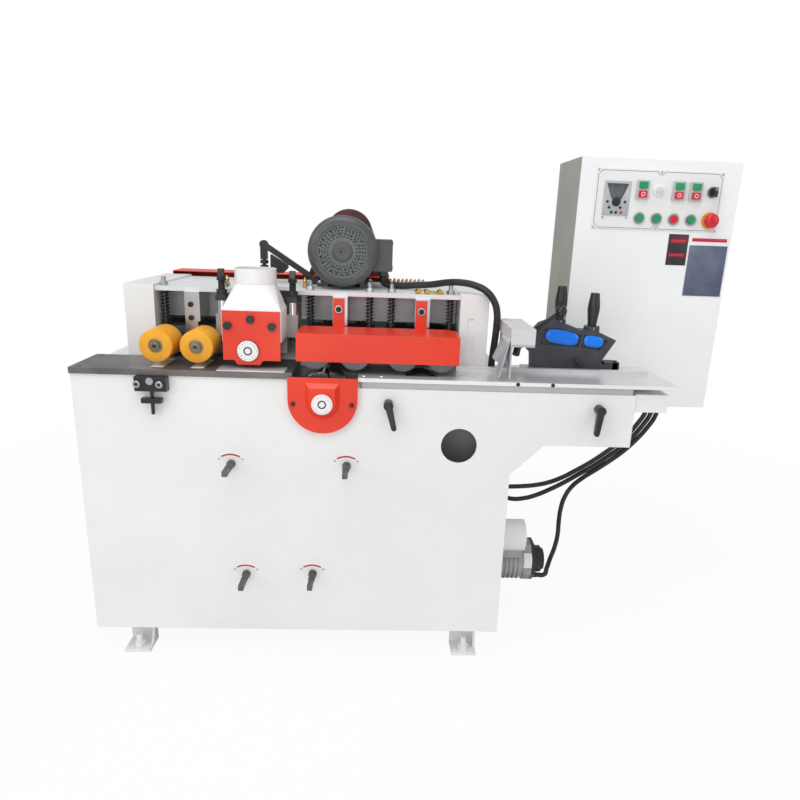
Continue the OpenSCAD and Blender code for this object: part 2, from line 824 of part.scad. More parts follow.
module lower_cutter_cover() placed() {
    rim_t = 2.5;
    rim_z1 = panel_top - 1;
    face_y = -lower_cover_d;
    color("orangered") difference() {
        union() {
            prism_y(lower_cover_y0 - rim_t, lower_cover_y0)
                u_outline(lower_cover_half, lower_x, lower_cover_z, lower_cover_z1);
            prism_y(lower_cover_y0 - rim_t, 0)
                u_outline(lower_cover_half, lower_x, lower_cover_z, rim_z1);
            hull() {
                prism_y(lower_cover_y0 - rim_t - 1, lower_cover_y0 - rim_t)
                    u_outline(boss_half, lower_x, lower_z + 2, lower_z + 46, $fn = 32);
                prism_y(face_y, face_y + 1)
                    u_outline(boss_half - 9, lower_x, lower_z + 2, lower_z + 36, $fn = 32);
            }
        }
        prism_y(lower_cover_y0, eps)
            u_outline(lower_cover_half - rim_t, lower_x, lower_cover_z, rim_z1 - rim_t);
        prism_y(face_y + rim_t, 0)
            u_outline(boss_half - 14, lower_x, lower_z + 2, lower_z + 30);
    }
    color("black") rod_y(lower_x, lower_z, 24.6, face_y - 2, face_y);
    color("black") for (s = [-1, 1])
        rod_y(lower_x + s * 66, lower_z - 3, 5, lower_cover_y0 - rim_t - 4, lower_cover_y0 - rim_t);
}

// bearing housing of the lower cutter's spindle, bolted behind the bulkhead

module lower_housing() placed() color("slategray") {
    half = 40;
    housing_z1 = low_top - sheet - 3;
    difference() {
        union() {
            block(lower_x - half, lower_x + half, bulkhead_y + bulkhead_t, lower_housing_y1,
                lower_z - 30, housing_z1);
            block(lower_x - half - 16, lower_x + half + 16, bulkhead_y + bulkhead_t,
                bulkhead_y + bulkhead_t + 10, lower_z - 42, housing_z1);
        }
        rod_y(lower_x, lower_z, spindle_r + running, bulkhead_y, lower_housing_y1 + eps);
    }
    for (s = [-1, 1]) for (z = [lower_z - 34, housing_z1 - 8])
        hex_y(lower_x + s * (half + 8), z, 10, bulkhead_y + bulkhead_t + 10,
            bulkhead_y + bulkhead_t + 16);
}

// end block under the left end of the outfeed table, with its small drop rod

module end_block() placed() {
    block_x0 = 146;
    block_x1 = 216;
    rod_at = 181;
    color("#1d1e20") block(block_x0, block_x1, -20, 0, panel_top - 33, panel_top - 0.5);
    color("silver") {
        for (x = [block_x0 + 7, block_x1 - 14]) rod_y(x, panel_top - 16, 3.5, -23, -20);
        rod_y(rod_at, panel_top - 7, 5, -21.5, -20);
    }
    color("silver") {
        rod_z(rod_at, -12, 4, panel_top - 87, panel_top - 33);
        block(rod_at - 22, rod_at + 22, -22, -6, panel_top - 60, panel_top - 49);
    }
}

// feed gearmotor beside the cabinet: drum, ribbed gear case, ring and fan dome

module feed_gearmotor() placed() {
    case_y = 215;
    case_z = 168;
    case_r = 56;
    ring_x0 = base_l + 95;
    ring_x1 = branch_end[0] - gland_h;
    color("whitesmoke") rod_x(160, 268, 42, base_l, base_l + 85);
    color("#3a3d40") {
        rod_x(case_y, case_z, case_r - 4, base_l, ring_x0);
        for (k = [0:6]) rod_x(case_y, case_z, case_r, base_l + 8 + 12 * k, base_l + 13 + 12 * k);
        block(base_l, base_l + 85, 160, 190, case_z + 30, 232);
        translate([ring_x0, case_y, case_z]) rotate([0, 90, 0]) rotate([0, 0, 22.5])
            cylinder(r = case_r + 2, h = ring_x1 - ring_x0, $fn = 8);
    }
    color("black") {
        rod_x(case_y, case_z, 37, ring_x1, ring_x1 + 22);
        rod_x(case_y, case_z, 30, ring_x1 + 22, ring_x1 + 30);
        rod_x(branch_end[1], branch_end[2], cable_r + 1, ring_x1, branch_end[0]);
    }
}

// galvanised channel over the infeed side, with its hanging plates

module stock_deflector() placed() {
    top_x0 = base_l - 21;
    top_x1 = base_l + 34;
    top = infeed_z + 120;
    wall = 2;
    post_y0 = 160;
    window_y = 45;
    window_h = 34;
    color("#8f9aa3") {
        block(top_x0, top_x1, 5, post_y0 + 15, top - wall, top);
        for (x = [top_x0, top_x1 - wall]) block(x, x + wall, 5, post_y0 + 15, top - 28, top);
        block(top_x0, top_x1, 5, 5 + wall, top - 41, top);
        block(top_x0 + 4, top_x0 + 28, post_y0, post_y0 + 14, low_top, top - wall);
        block(top_x0, top_x0 + 50, post_y0 - 4, post_y0 + 24, low_top, low_top + 5);
    }
    // both hanging plates have a window for the stock over the back of the table
    color("#8f9aa3") difference() {
        hull() {
            translate([top_x0 - 22, 8, infeed_z + 4]) cube([wall, 4, 1]);
            translate([top_x0 - 33, 108, infeed_z + 4]) cube([wall, 4, 1]);
            translate([top_x0, 20, top - 30]) cube([wall, 4, 3]);
            translate([top_x0, 106, top - 30]) cube([wall, 4, 3]);
        }
        block(top_x0 - 60, top_x0 - eps, window_y, 140, infeed_z, infeed_z + window_h);
    }
    color("tan") difference() {
        translate([top_x0 + wall, 7 + clear, infeed_z + 5]) rotate([0, 0, -4])
            cube([3, 110, top - infeed_z - 5 - wall]);
        block(top_x0, top_x0 + 40, window_y, 140, infeed_z, infeed_z + window_h);
    }
    color("black") for (y = [128, 152]) rod_z(top_x0 + 16, y, 5, top, top + 3);
}
// control cabinet, open at the back where its door sits, with the operator panel on its front

twins = [button_x0, button_x0 + 2.07 * button_pitch, button_x0 + 3.05 * button_pitch];
buttons = [for (k = [0:3]) button_x0 + k * button_pitch];
hinge_x = control_x1 + hinge_r + clear;
hinge_y = control_y1 - 2.5;
knuckle_l = 22;

// outline of one cap of a double push button, above and below its middle
module twin_cap(x, grow, y0, y1) {
    for (s = [-1, 1])
        block(x - 10.5 - grow, x + 10.5 + grow, y0, y1, upper_row + s * 11 - 8 - grow,
            upper_row + s * 11 + 8 + grow);
}

module panel_outline() {
    corner = 9;
    x1 = panel_x0 + panel_w;
    z1 = panel_z0 + panel_h;
    polygon([[panel_x0 + corner, panel_z0], [x1 - corner, panel_z0], [x1, panel_z0 + corner],
        [x1, z1 - corner], [x1 - corner, z1], [panel_x0 + corner, z1], [panel_x0, z1 - corner],
        [panel_x0, panel_z0 + corner]]);
}

module operator_panel() {
    face = control_y0 - panel_t;
    lamp_x = panel_x0 + 165;
    keypad_x = panel_x0 + 57;
    keypad_z = (button_row + upper_row) / 2 + 12;
    difference() {
        union() {
            color("gainsboro") prism_y(face, control_y0) panel_outline();
            color("black") {
                for (x = buttons) rod_y(x, button_row, bezel_r, face - bezel_h, face);
                for (x = twins)
                    block(x - twin_w / 2, x + twin_w / 2, face - twin_d, face,
                        upper_row - twin_h / 2, upper_row + twin_h / 2);
                rod_y(estop_x, button_row, bezel_r, face - bezel_h, face);
                rod_y(selector_x, upper_row, bezel_r, face - bezel_h, face);
                rod_y(lamp_x, upper_row, bezel_r, face - bezel_h, face);
            }
        }
        for (x = buttons)
            rod_y(x, button_row, button_r + running, face - 20, control_y0 + eps);
        for (x = twins) twin_cap(x, running, face - 20, control_y0 + eps);
        rod_y(estop_x, button_row, stem_r + running, face - 20, control_y0 + eps);
        rod_y(selector_x, upper_row, stem_r + running, face - 20, control_y0 + eps);
    }
    color("ivory") rod_y(lamp_x, upper_row, 10, face - bezel_h - 5, face - bezel_h);
    color("black") block(keypad_x - 34, keypad_x + 34, face - 2, face, keypad_z - 42,
        keypad_z + 42);
}

module control_cabinet() placed() {
    color("lightgray") difference() {
        block(control_x0, control_x1, control_y0, control_y1 - door_t, control_z0, control_z1);
        block(control_x0 + control_t, control_x1 - control_t, control_y0 + control_t,
            control_y1, control_z0 + control_t, control_z1 - control_t);
        block(panel_x0 + 12, panel_x0 + panel_w - 12, control_y0 - eps, control_y0 + control_t + eps,
            panel_z0 + 12, panel_z0 + panel_h - 12);
    }
    operator_panel();
    color("black") for (p = [trunk_route[0], upper_route[0], branch_route[0]])
        rod_z(p[0], p[1], cable_r + 1, p[2], control_z0);
    color("gray") for (z = hinge_heights) {
        difference() {
            union() {
                rod_z(hinge_x, hinge_y, hinge_r, z, z + knuckle_l);
                block(control_x1 - control_t, hinge_x, hinge_y - 3, hinge_y, z, z + knuckle_l);
            }
            rod_z(hinge_x, hinge_y, 2, z - eps, z + knuckle_l + eps);
        }
        rod_z(hinge_x, hinge_y, 2, z, z + 2 * knuckle_l);
    }
}

module motor_conduit() placed() color("#1d1f21") tube(conduit_route, conduit_r, 10, [0, 1, 0.2]);

module cable_bundle() placed() color("#1d1f21") {
    tube(trunk_route, cable_r, 8, [0, 1, 0.2]);
    tube(upper_route, cable_r, 8, [0, 1, 0.2]);
    tube(branch_route, cable_r, 8, [0.1, 1, 0.3]);
}

// infeed table with its bed, two clamp legs and the fence rail

module leg(x) {
    half = 28;
    drop = 41;
    block(x - half, x + half, leg_y0, leg_y1, strip_z - bed_t - drop - 9, strip_z - bed_t);
}

module infeed_table() placed() {
    wide_x0 = base_l + 45;
    rail_x0 = base_l - 130;
    rail_x1 = base_l + 340;
    rail_y0 = 103;
    color("silver") difference() {
        translate([0, 0, strip_z]) linear_extrude(infeed_t)
            polygon([[infeed_x0, table_y0], [infeed_x1, table_y0], [infeed_x1, wide_y1],
                [wide_x0, wide_y1], [wide_x0, table_y1], [infeed_x0, table_y1]]);
        block(feed_right_x - roller_slot, feed_right_x + roller_slot, roller_y0 - 17, roller_y1 + 8,
            strip_z - eps, infeed_z + eps);
        for (x = [infeed_x0 + 12, infeed_x0 + 52])
            translate([x, table_y0 + 20, infeed_z - 4]) cylinder(r1 = 3, r2 = 6, h = 4.5);
    }
    color("silver") difference() {
        block(bed_x0, bed_x1, bed_y0, bed_y1, strip_z - bed_t, strip_z);
        block(feed_right_x - lower_roller_r - 8, feed_right_x + lower_roller_r + 8, roller_y0 - 21,
            bed_y1 + eps, strip_z - bed_t - eps, strip_z + eps);
    }
    color("silver") for (x = [lever_left_x, lever_right_x]) leg(x);
    color("darkgray") block(rail_x0, rail_x1, rail_y0, rail_y0 + rail_w, infeed_z, infeed_z + rail_h);
}

// lower feed roller, its shaft carried in the bulkhead

module lower_feed_roller() placed() {
    color("dimgray") difference() {
        rod_y(feed_right_x, lower_roller_z, lower_roller_r, roller_y0, roller_y1);
        for (k = [0:6]) turned_y(feed_right_x, lower_roller_z, roller_y0 + 5 + 10 * k)
            translate([lower_roller_r, 0]) rotate(45) square(2, center = true);
    }
    color("silver") rod_y(feed_right_x, lower_roller_z, roller_shaft_r, roller_y0 - 8, 215);
    color("gray") rod_y(feed_right_x, lower_roller_z, roller_shaft_r + 4, 180, 192);
}

// guide stand on the infeed table: charcoal casting with two pocketed windows

module guide_stand() placed() color("#3c3f45") {
    z = infeed_z;
    window_t = 6;
    difference() {
        union() {
            prism_y(stand_y0, stand_y1) translate([base_l, 0])
                polygon([[67, z], [64, z + 35], [50, z + 48], [55, z + 80], [82, z + 111],
                    [109, z + 122], [137, z + 115], [181, z + 99], [221, z + 98], [270, z + 77],
                    [237, z + 22], [249, z + 11], [249, z]]);
            block(base_l + 249, base_l + 283, stand_y0 + 6, stand_y1 - 6, z, z + 20);
            rod_z(grip_left_x, grip_y, 15, z + 100, grip_left_z);
            rod_z(grip_right_x, grip_y, 15, z + 90, grip_right_z);
        }
        prism_y(stand_y0 - eps, stand_y0 + window_t) translate([base_l, 0])
            polygon([[90, z + 101], [82, z + 62], [176, z + 58], [183, z + 88], [120, z + 104]]);
        prism_y(stand_y0 - eps, stand_y0 + window_t) translate([base_l, 0])
            polygon([[188, z + 89], [184, z + 58], [228, z + 50], [250, z + 74], [222, z + 88]]);
        rod_z(grip_left_x, grip_y, pin_r + running, z + 60, grip_left_z + eps);
        rod_z(grip_right_x, grip_y, pin_r + running, z + 50, grip_right_z + eps);
        rod_x(ball_y, ball_z, ball_pin_r + running, ball_x + 10, ball_x + 56);
    }
}

module grip(x, z0, length) {
    color("silver") rod_z(x, grip_y, pin_r, z0 - 38, z0 + 16);
    color("#2b2d30") translate([x, grip_y, z0 + 12]) rotate_extrude() {
        polygon([[0, 0], [8, 0], [9.5, 3], [12, length * 0.22], [12.8, length * 0.42],
            [12, length * 0.68], [9.8, length * 0.94], [8.6, length], [0, length]]);
    }
}

module grip_left() placed() grip(grip_left_x, grip_left_z, 58);

module grip_right() placed() grip(grip_right_x, grip_right_z, 52);

// ball lever at the left end of the stand

module ball_lever() placed() {
    small_at = [ball_x + 84, ball_y - 52, ball_z + 83];
    hub = [ball_x, ball_y, ball_z];
    tail = unit([-0.25, -0.5, -0.83]);
    lean = unit(small_at - hub);
    color("silver") rod_x(ball_y, ball_z, ball_pin_r, ball_x, ball_x + 54);
    // both balls and the rod between them are turned in one piece
    color("black") translate(hub) aim(lean) rotate_extrude() {
        reach = norm(small_at - hub);
        intersection() {
            union() {
                circle(r = ball_r);
                translate([0, reach]) circle(r = 14);
            }
            translate([0, -ball_r]) square([ball_r, reach + 2 * ball_r]);
        }
        square([5, reach]);
    }
    color("black") translate(hub) aim(tail) cylinder(r = 9, h = 38);
}

// turns the Z axis towards a unit vector
module aim(v) {
    rotate([0, acos(v[2]), atan2(v[1], v[0])]) children();
}

// upper head: two guide blocks on the posts, a backplate and the spindle housing

module upper_head() placed() color("slategray") {
    difference() {
        union() {
            for (x = [post_left_x, post_right_x])
                block(x - block_half, x + block_half, block_y0, block_y1, block_z0, block_z1);
            block(post_left_x, post_right_x, backplate_y0, backplate_y1, block_z0, block_z1);
            block(post_left_x + block_half, post_right_x - block_half, backplate_y0, backplate_y1,
                backplate_z0, block_z1);
            rod_y(upper_x, upper_z, boss_half, backplate_y1 - eps, housing_y1);
        }
        for (x = [post_left_x, post_right_x]) {
            rod_z(x, post_y, post_r + running, block_z0 + block_floor, block_z1 + eps);
            rod_z(x, post_y, screw_r + running, block_z0 - eps, block_z0 + block_floor + eps);
        }
        rod_y(upper_x, upper_z, spindle_r + running, backplate_y0 - eps, housing_y1 + eps);
    }
}

// white dust hood over the upper cutter, running up into a round spigot

module hood_shape(inset) {
    block(hood_x0 + inset, hood_x1 - inset, hood_y0 + inset, hood_y1 - inset, hood_low - inset,
        hood_high);
    hull() {
        block(hood_x0 + inset, hood_x1 - inset, hood_y0 + inset, hood_y1 - inset, hood_high - 1,
            hood_high);
        rod_z(port_x, port_y, port_out_r - spigot_step - inset, spigot_z0, spigot_z0 + 1, $fn = 64);
    }
    rod_z(port_x, port_y, port_out_r - inset, spigot_z0, spigot_z1 + inset);
}

module dust_hood() placed() color("whitesmoke") difference() {
    hood_shape(0);
    hood_shape(hood_t);
    rod_y(upper_x, upper_z, spindle_r + 3, hood_y1 - hood_t - eps, hood_y1 + eps);
}

// red front cover of the upper cutter with its three bolts and the boss of the scale

module cutter_cover() placed() {
    plate_y0 = hood_y0 - 5;
    x0 = hood_x0 + 2;
    x1 = hood_x1 - 2;
    lug_x0 = upper_x - 39;
    lug_x1 = upper_x + 24;
    color("orangered") prism_y(plate_y0, hood_y0)
        polygon([[x0, hood_low - 42], [lug_x0, hood_low - 42], [lug_x0 + 6, hood_low - 52],
            [lug_x1 - 6, hood_low - 52], [lug_x1, hood_low - 42], [x1, hood_low - 42],
            [x1, hood_high + 1], [x0, hood_high + 1]]);
    color("black") {
        for (p = [[346, 36], [444, 36], [397, 51]])
            hex_y(p[0], hood_low + p[1], 17, plate_y0 - 7, plate_y0);
        rod_y(upper_x - 8, hood_low - 20, 24, plate_y0 - 4, plate_y0);
    }
}

// grooved profile cutter: a turned body with gullets, and four clamped knives

module cutter_head(x, z, knife_r) {
    body_r = knife_r - 4;
    knife_t = 4;
    knife_deep = 20;
    gullet_w = 16;
    wedge_t = 7;
    rows = [for (k = [-1:1]) cutter_w / 2 + k * groove_pitch];
    color("slategray") difference() {
        rod_y(x, z, body_r, cutter_y0, cutter_y1);
        for (g = rows) turned_y(x, z, cutter_y0 + g)
            translate([knife_r, 0]) circle(r = groove_d / 2 + 1.5);
        for (k = [0:3]) translate([x, 0, z]) rotate([0, 90 * k, 0])
            block(-knife_t, gullet_w - knife_t, cutter_y0 - eps, cutter_y1 + eps,
                knife_r - knife_deep, knife_r + eps);
        rod_y(x, z, spindle_r, cutter_y0 - eps, cutter_y1 + eps);
    }
    color("gainsboro") for (k = [0:3]) translate([x, 0, z]) rotate([0, 90 * k, 0]) difference() {
        block(-knife_t, 0, cutter_y0, cutter_y1, knife_r - knife_deep, knife_r);
        for (g = rows) rod_x(cutter_y0 + g, knife_r, groove_d / 2, -knife_t - eps, eps);
    }
    color("dimgray") for (k = [0:3]) translate([x, 0, z]) rotate([0, 90 * k, 0]) difference() {
        block(0, wedge_t, cutter_y0, cutter_y1, knife_r - knife_deep, knife_r - 9);
        for (y = [cutter_y0 + 10, (cutter_y0 + cutter_y1) / 2, cutter_y1 - 10])
            rod_x(y, knife_r - 14, 2.5, wedge_t - 3, wedge_t + eps);
    }
}

module upper_cutter() placed() {
    cutter_head(upper_x, upper_z, upper_knife_r);
    color("silver") difference() {
        union() {
            rod_y(upper_x, upper_z, spindle_r, cutter_y0 - 5, upper_shaft_y1);
            rod_y(upper_x, upper_z, spindle_r + 4, cutter_y1, hood_y1 - hood_t - 2);
        }
        hex_y(upper_x, upper_z, 12, cutter_y0 - 6, cutter_y0);
    }
    color("gray") grooved_pulley(upper_x, upper_z, cutter_pulley_r, pulley_y0, pulley_w);
}

// two groove belt pulley
module grooved_pulley(x, z, r, y0, w) {
    groove = 8;
    turned_y(x, z, y0) difference() {
        square([r, w]);
        for (y = [w * 0.28, w * 0.72])
            polygon([[r + eps, y - 6.5], [r - groove, y - 3.5], [r - groove, y + 3.5],
                [r + eps, y + 6.5]]);
    }
}

module head_screw(x) {
    collar_r = 10;
    color("silver") {
        rod_z(x, post_y, screw_r, block_z0 - 10, plate_top + 33);
        rod_z(x, post_y, collar_r, block_z0 - 10, block_z0 - clear);
        translate([x, post_y, plate_top + 33 + 8]) cube([13, 13, 16], center = true);
    }
}

module head_screw_left() placed() head_screw(post_left_x);

module head_screw_right() placed() head_screw(post_right_x);

module lower_cutter() placed() {
    cutter_head(lower_x, lower_z, lower_knife_r);
    color("silver") {
        rod_y(lower_x, lower_z, spindle_r, cutter_y0 - 5, lower_housing_y1 + 10);
        rod_y(lower_x, lower_z, spindle_r + 5, cutter_y1, lower_pulley_y0);
    }
    color("gray") grooved_pulley(lower_x, lower_z, lower_pulley_r, lower_pulley_y0, lower_pulley_w);
}

// top motor's shaft with its fan in front and the belt pulley behind

module motor_rotor() placed() {
    fan_r = 64;
    fan_front = fan_y0 + 16;
    color("silver") rod_y(motor_x, motor_z, motor_shaft_r, fan_front, pulley_y0 + pulley_w);
    color("dimgray") {
        rod_y(motor_x, motor_z, motor_shaft_r + 8, fan_front, fan_front + 16);
        rod_y(motor_x, motor_z, fan_r, fan_front + 13, fan_front + 16);
        for (k = [0:7]) translate([motor_x, 0, motor_z]) rotate([0, 45 * k, 0])
            block(-1.5, 1.5, fan_front, fan_front + 13, motor_shaft_r + 6, fan_r);
    }
    color("gray") grooved_pulley(motor_x, motor_z, motor_pulley_r, pulley_y0, pulley_w);
}

// sprung press unit: block with two shaft bores, a slot for the guide bar and two spring rods

module press_unit(c, shaft_z) {
    rod_z1 = plate_top + rod_up;
    color("slategray") difference() {
        block(c - unit_half, c + unit_half, unit_y0, unit_y1, unit_z0, unit_z1);
        block(c - guide_w / 2 - clear, c + guide_w / 2 + clear, unit_y0 - eps,
            guide_y0 + guide_t + clear, unit_z0 - eps, unit_z1 + eps);
        for (s = [-1, 1])
            rod_y(c + s * roller_half, shaft_z, roller_shaft_r + running, unit_y0 - eps, unit_y1 + eps);
    }
    color("silver") for (s = [-1, 1]) {
        rod_z(c + s * spring_half, unit_spring_y, spring_rod_r, unit_z1, rod_z1);
        difference() {
            hex_z(c + s * spring_half, unit_spring_y, 18, plate_top, plate_top + nut_h);
            rod_z(c + s * spring_half, unit_spring_y, spring_rod_r, plate_top - eps,
                plate_top + nut_h + eps);
        }
    }
}

module outfeed_unit() placed() press_unit(outfeed_unit_x, yellow_z);

module feed_unit_left() placed() press_unit(feed_left_x, feed_z);

module feed_unit_right() placed() press_unit(feed_right_x, feed_z);

// press spring with closed ends: the first and the last turn lie close

end_pitch = 2 * wire_r + 0.6;
free_pitch = (spring_h - 2 * wire_r - 2 * end_pitch) / (spring_turns - 2);

function spring_rise(t) = t < 1 ? end_pitch * t
    : t > spring_turns - 1 ? end_pitch + free_pitch * (spring_turns - 2)
        + end_pitch * (t - spring_turns + 1)
    : end_pitch + free_pitch * (t - 1);

spring_line = [for (i = [0:8 * spring_turns])
    let (a = 45 * i)
    [spring_r * cos(a), spring_r * sin(a), wire_r + spring_rise(i / 8)]];

spring_gap = min([for (i = [0:len(spring_line) - 6]) for (j = [i + 5:len(spring_line) - 1])
    norm(spring_line[i] - spring_line[j])]) - 2 * wire_r;
echo(least_spring_gap_mm = spring_gap);

module spring_pair(c) color("dimgray") for (s = [-1, 1])
    translate([c + s * spring_half, unit_spring_y, unit_z1]) tube(spring_line, wire_r, 6, [0, 0, 1]);

module outfeed_springs() placed() spring_pair(outfeed_unit_x);

module feed_springs_left() placed() spring_pair(feed_left_x);

module feed_springs_right() placed() spring_pair(feed_right_x);

// roller shaft with its sprocket behind and the hub nut in front

module roller_shaft(x, z, y0) {
    hub_z = 12;
    color("silver") rod_y(x, z, roller_shaft_r, y0, shaft_y1);
    color("gray") {
        hex_y(x, z, 20, y0 - 7, y0);
        difference() {
            rod_y(x, z, sprocket_r, sprocket_y0, sprocket_y0 + sprocket_w);
            for (k = [0:hub_z - 1])
                rod_y(x + (sprocket_r + 2) * cos(30 * k), z + (sprocket_r + 2) * sin(30 * k), 6,
                    sprocket_y0 - eps, sprocket_y0 + sprocket_w + eps);
        }
        rod_y(x, z, roller_shaft_r + 5, unit_y1 + clear, unit_y1 + 12);
    }
}

module yellow_roller(x) {
    color("orange") difference() {
        rod_y(x, yellow_z, yellow_r, 22, 22 + yellow_l);
        rod_y(x, yellow_z, roller_shaft_r, 20, 24 + yellow_l);
        rod_y(x, yellow_z, 24, 20, 28);
    }
    color("gray") difference() {
        rod_y(x, yellow_z, 24, 26, 28);
        rod_y(x, yellow_z, roller_shaft_r, 24, 30);
    }
    roller_shaft(x, yellow_z, 20);
}

module outfeed_roller_left() placed() yellow_roller(outfeed_unit_x - roller_half);

module outfeed_roller_right() placed() yellow_roller(outfeed_unit_x + roller_half);

// toothed feed wheel
module feed_wheel(x) {
    root_r = feed_r - 3;
    color("slategray") prism_y(wheel_y0, wheel_y0 + feed_w) difference() {
        translate([x, feed_z]) polygon([for (k = [0:feed_teeth - 1]) for (p = [[0, root_r],
            [0.35, feed_r], [0.6, feed_r]]) let (a = 360 * (k + p[0]) / feed_teeth)
            p[1] * [cos(a), sin(a)]]);
        translate([x, feed_z]) circle(r = roller_shaft_r);
    }
    roller_shaft(x, feed_z, wheel_y0 - 1);
}

module feed_wheel_1() placed() feed_wheel(feed_left_x - roller_half);

module feed_wheel_2() placed() feed_wheel(feed_left_x + roller_half);

module feed_wheel_3() placed() feed_wheel(feed_right_x - roller_half);

module feed_wheel_4() placed() feed_wheel(feed_right_x + roller_half);

// adjusting shaft in its bush: collar and square end in front, retaining collar behind

module adjuster(k) {
    x = adjusters[k][0];
    z = adjusters[k][1];
    square_w = 12;
    color("silver") {
        rod_y(x, z, adjuster_r, -adjuster_out + 38, sheet + bush_l + 8);
        rod_y(x, z, adjuster_r + 2, -10, -clear);
        block(x - square_w / 2, x + square_w / 2, -adjuster_out, -adjuster_out + 40,
            z - square_w / 2, z + square_w / 2);
        rod_y(x, z, adjuster_r + 4, sheet + bush_l + clear, sheet + bush_l + 8);
    }
}

module adjuster_1() placed() adjuster(0);

module adjuster_2() placed() adjuster(1);

module adjuster_3() placed() adjuster(2);

module adjuster_4() placed() adjuster(3);

// clamp lever of the infeed table: hub, arm, and the stud whose tip presses on the table's leg

module clamp_lever(x, lean) {
    color("#2b2d30") {
        rod_y(x, lever_z, 11, -24, -clear);
        hull() {
            rod_y(x, lever_z, 8, -24, -14, $fn = 32);
            rod_y(x + lever_l * sin(lean), lever_z - lever_l * cos(lean), 6, -32, -22, $fn = 32);
        }
    }
    color("silver") rod_y(x, lever_z, lever_stud_r, -20, leg_y0 - clear);
}

module clamp_lever_left() placed() clamp_lever(lever_left_x, 15);

module clamp_lever_right() placed() clamp_lever(lever_right_x, -8);

// rear door of the control cabinet with its hinge knuckles

module cabinet_door() placed() color("lightgray") {
    lap = knuckle_l + clear;
    difference() {
        union() {
            block(control_x0, control_x1, control_y1 - door_t, control_y1, control_z0, control_z1);
            for (z = hinge_heights) {
                rod_z(hinge_x, hinge_y, hinge_r, z + lap, z + lap + knuckle_l);
                block(control_x1 - eps, hinge_x, control_y1 - door_t, control_y1, z + lap,
                    z + lap + knuckle_l);
            }
        }
        for (z = hinge_heights)
            rod_z(hinge_x, hinge_y, 2 + running, z - eps, z + 2 * lap + knuckle_l);
    }
}

module emergency_stop() placed() {
    front = control_y0 - panel_t - bezel_h - button_travel - 1;
    color("red") {
        rod_y(estop_x, button_row, 18, front - 12, front);
        rod_y(estop_x, button_row, 13, front - 16, front - 12);
        rod_y(estop_x, button_row, stem_r, front, control_y0 + 14);
    }
}

module selector_knob() placed() color("#202224") {
    front = control_y0 - panel_t - bezel_h;
    rod_y(selector_x, upper_row, 11, front - 5, front - clear);
    block(selector_x - 4, selector_x + 4, front - 18, front - 5, upper_row - 12, upper_row + 12);
    rod_y(selector_x, upper_row, stem_r, front - 5, control_y0 + 14);
}

module push_button(k) {
    front = control_y0 - panel_t - bezel_h - button_travel - 1;
    rod_y(buttons[k], button_row, button_r, front, control_y0 + 6);
}

module button_1() placed() color("limegreen") push_button(0);

module button_2() placed() color("limegreen") push_button(1);

module button_3() placed() color("red") push_button(2);

module button_4() placed() color("limegreen") push_button(3);

// the two caps of a double push button, carried on one plunger behind the panel
module twin_caps(k) {
    front = control_y0 - panel_t - twin_d - button_travel - 1;
    back = control_y0 + control_t + 4;
    color("limegreen") twin_cap(twins[k], 0, front, back);
    color("gray") block(twins[k] - 10, twins[k] + 10, back, back + 4, upper_row - 18, upper_row + 18);
}

module twin_caps_1() placed() twin_caps(0);

module twin_caps_2() placed() twin_caps(1);

module twin_caps_3() placed() twin_caps(2);

// what is drawn

base_cabinet();
mounting_feet();
outfeed_table();
head_frame();
top_plate();
roller_guard();
drive_covers();
top_motor();
tension_arm();
guide_posts();
lower_cutter_cover();
lower_housing();
end_block();
feed_gearmotor();
stock_deflector();
control_cabinet();
motor_conduit();
cable_bundle();
infeed_table();
guide_stand();
grip_left();
grip_right();
ball_lever();
upper_head();
dust_hood();
cutter_cover();
upper_cutter();
head_screw_left();
head_screw_right();
lower_cutter();
motor_rotor();
outfeed_unit();
outfeed_springs();
outfeed_roller_left();
outfeed_roller_right();
feed_unit_left();
feed_springs_left();
feed_wheel_1();
feed_wheel_2();
feed_unit_right();
feed_springs_right();
feed_wheel_3();
feed_wheel_4();
lower_feed_roller();
adjuster_1();
adjuster_2();
adjuster_3();
adjuster_4();
clamp_lever_left();
clamp_lever_right();
cabinet_door();
emergency_stop();
selector_knob();
button_1();
button_2();
button_3();
button_4();
twin_caps_1();
twin_caps_2();
twin_caps_3();
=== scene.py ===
import math

import bmesh
import bpy
from mathutils import Matrix, Vector


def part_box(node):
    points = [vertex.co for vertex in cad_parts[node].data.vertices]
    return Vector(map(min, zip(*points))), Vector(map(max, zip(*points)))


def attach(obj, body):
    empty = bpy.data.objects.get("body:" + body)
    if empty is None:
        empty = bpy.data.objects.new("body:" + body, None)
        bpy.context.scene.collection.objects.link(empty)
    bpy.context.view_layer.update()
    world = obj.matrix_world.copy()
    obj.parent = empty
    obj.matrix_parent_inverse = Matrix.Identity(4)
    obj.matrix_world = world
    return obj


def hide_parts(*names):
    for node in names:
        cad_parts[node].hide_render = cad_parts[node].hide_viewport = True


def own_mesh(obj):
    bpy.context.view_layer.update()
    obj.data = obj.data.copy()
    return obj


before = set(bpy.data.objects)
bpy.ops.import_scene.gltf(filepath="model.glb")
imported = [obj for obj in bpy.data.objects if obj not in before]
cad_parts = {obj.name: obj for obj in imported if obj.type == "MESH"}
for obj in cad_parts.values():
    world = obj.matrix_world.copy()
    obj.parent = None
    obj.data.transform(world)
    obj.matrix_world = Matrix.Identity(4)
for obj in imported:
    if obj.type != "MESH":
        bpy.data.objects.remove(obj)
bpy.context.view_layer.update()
scene = bpy.context.scene

# Camera. It stands in front of the machine, a little left of its middle and at chest
# height, and looks slightly down. Places are in millimetres from the cabinet's left
# front corner on the floor, as a fitter would measure them, and at() turns them round.
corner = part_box("base_cabinet")[0]


def at(x, y, z):
    return Vector((corner.x + x / 1000, corner.y + y / 1000, z / 1000))


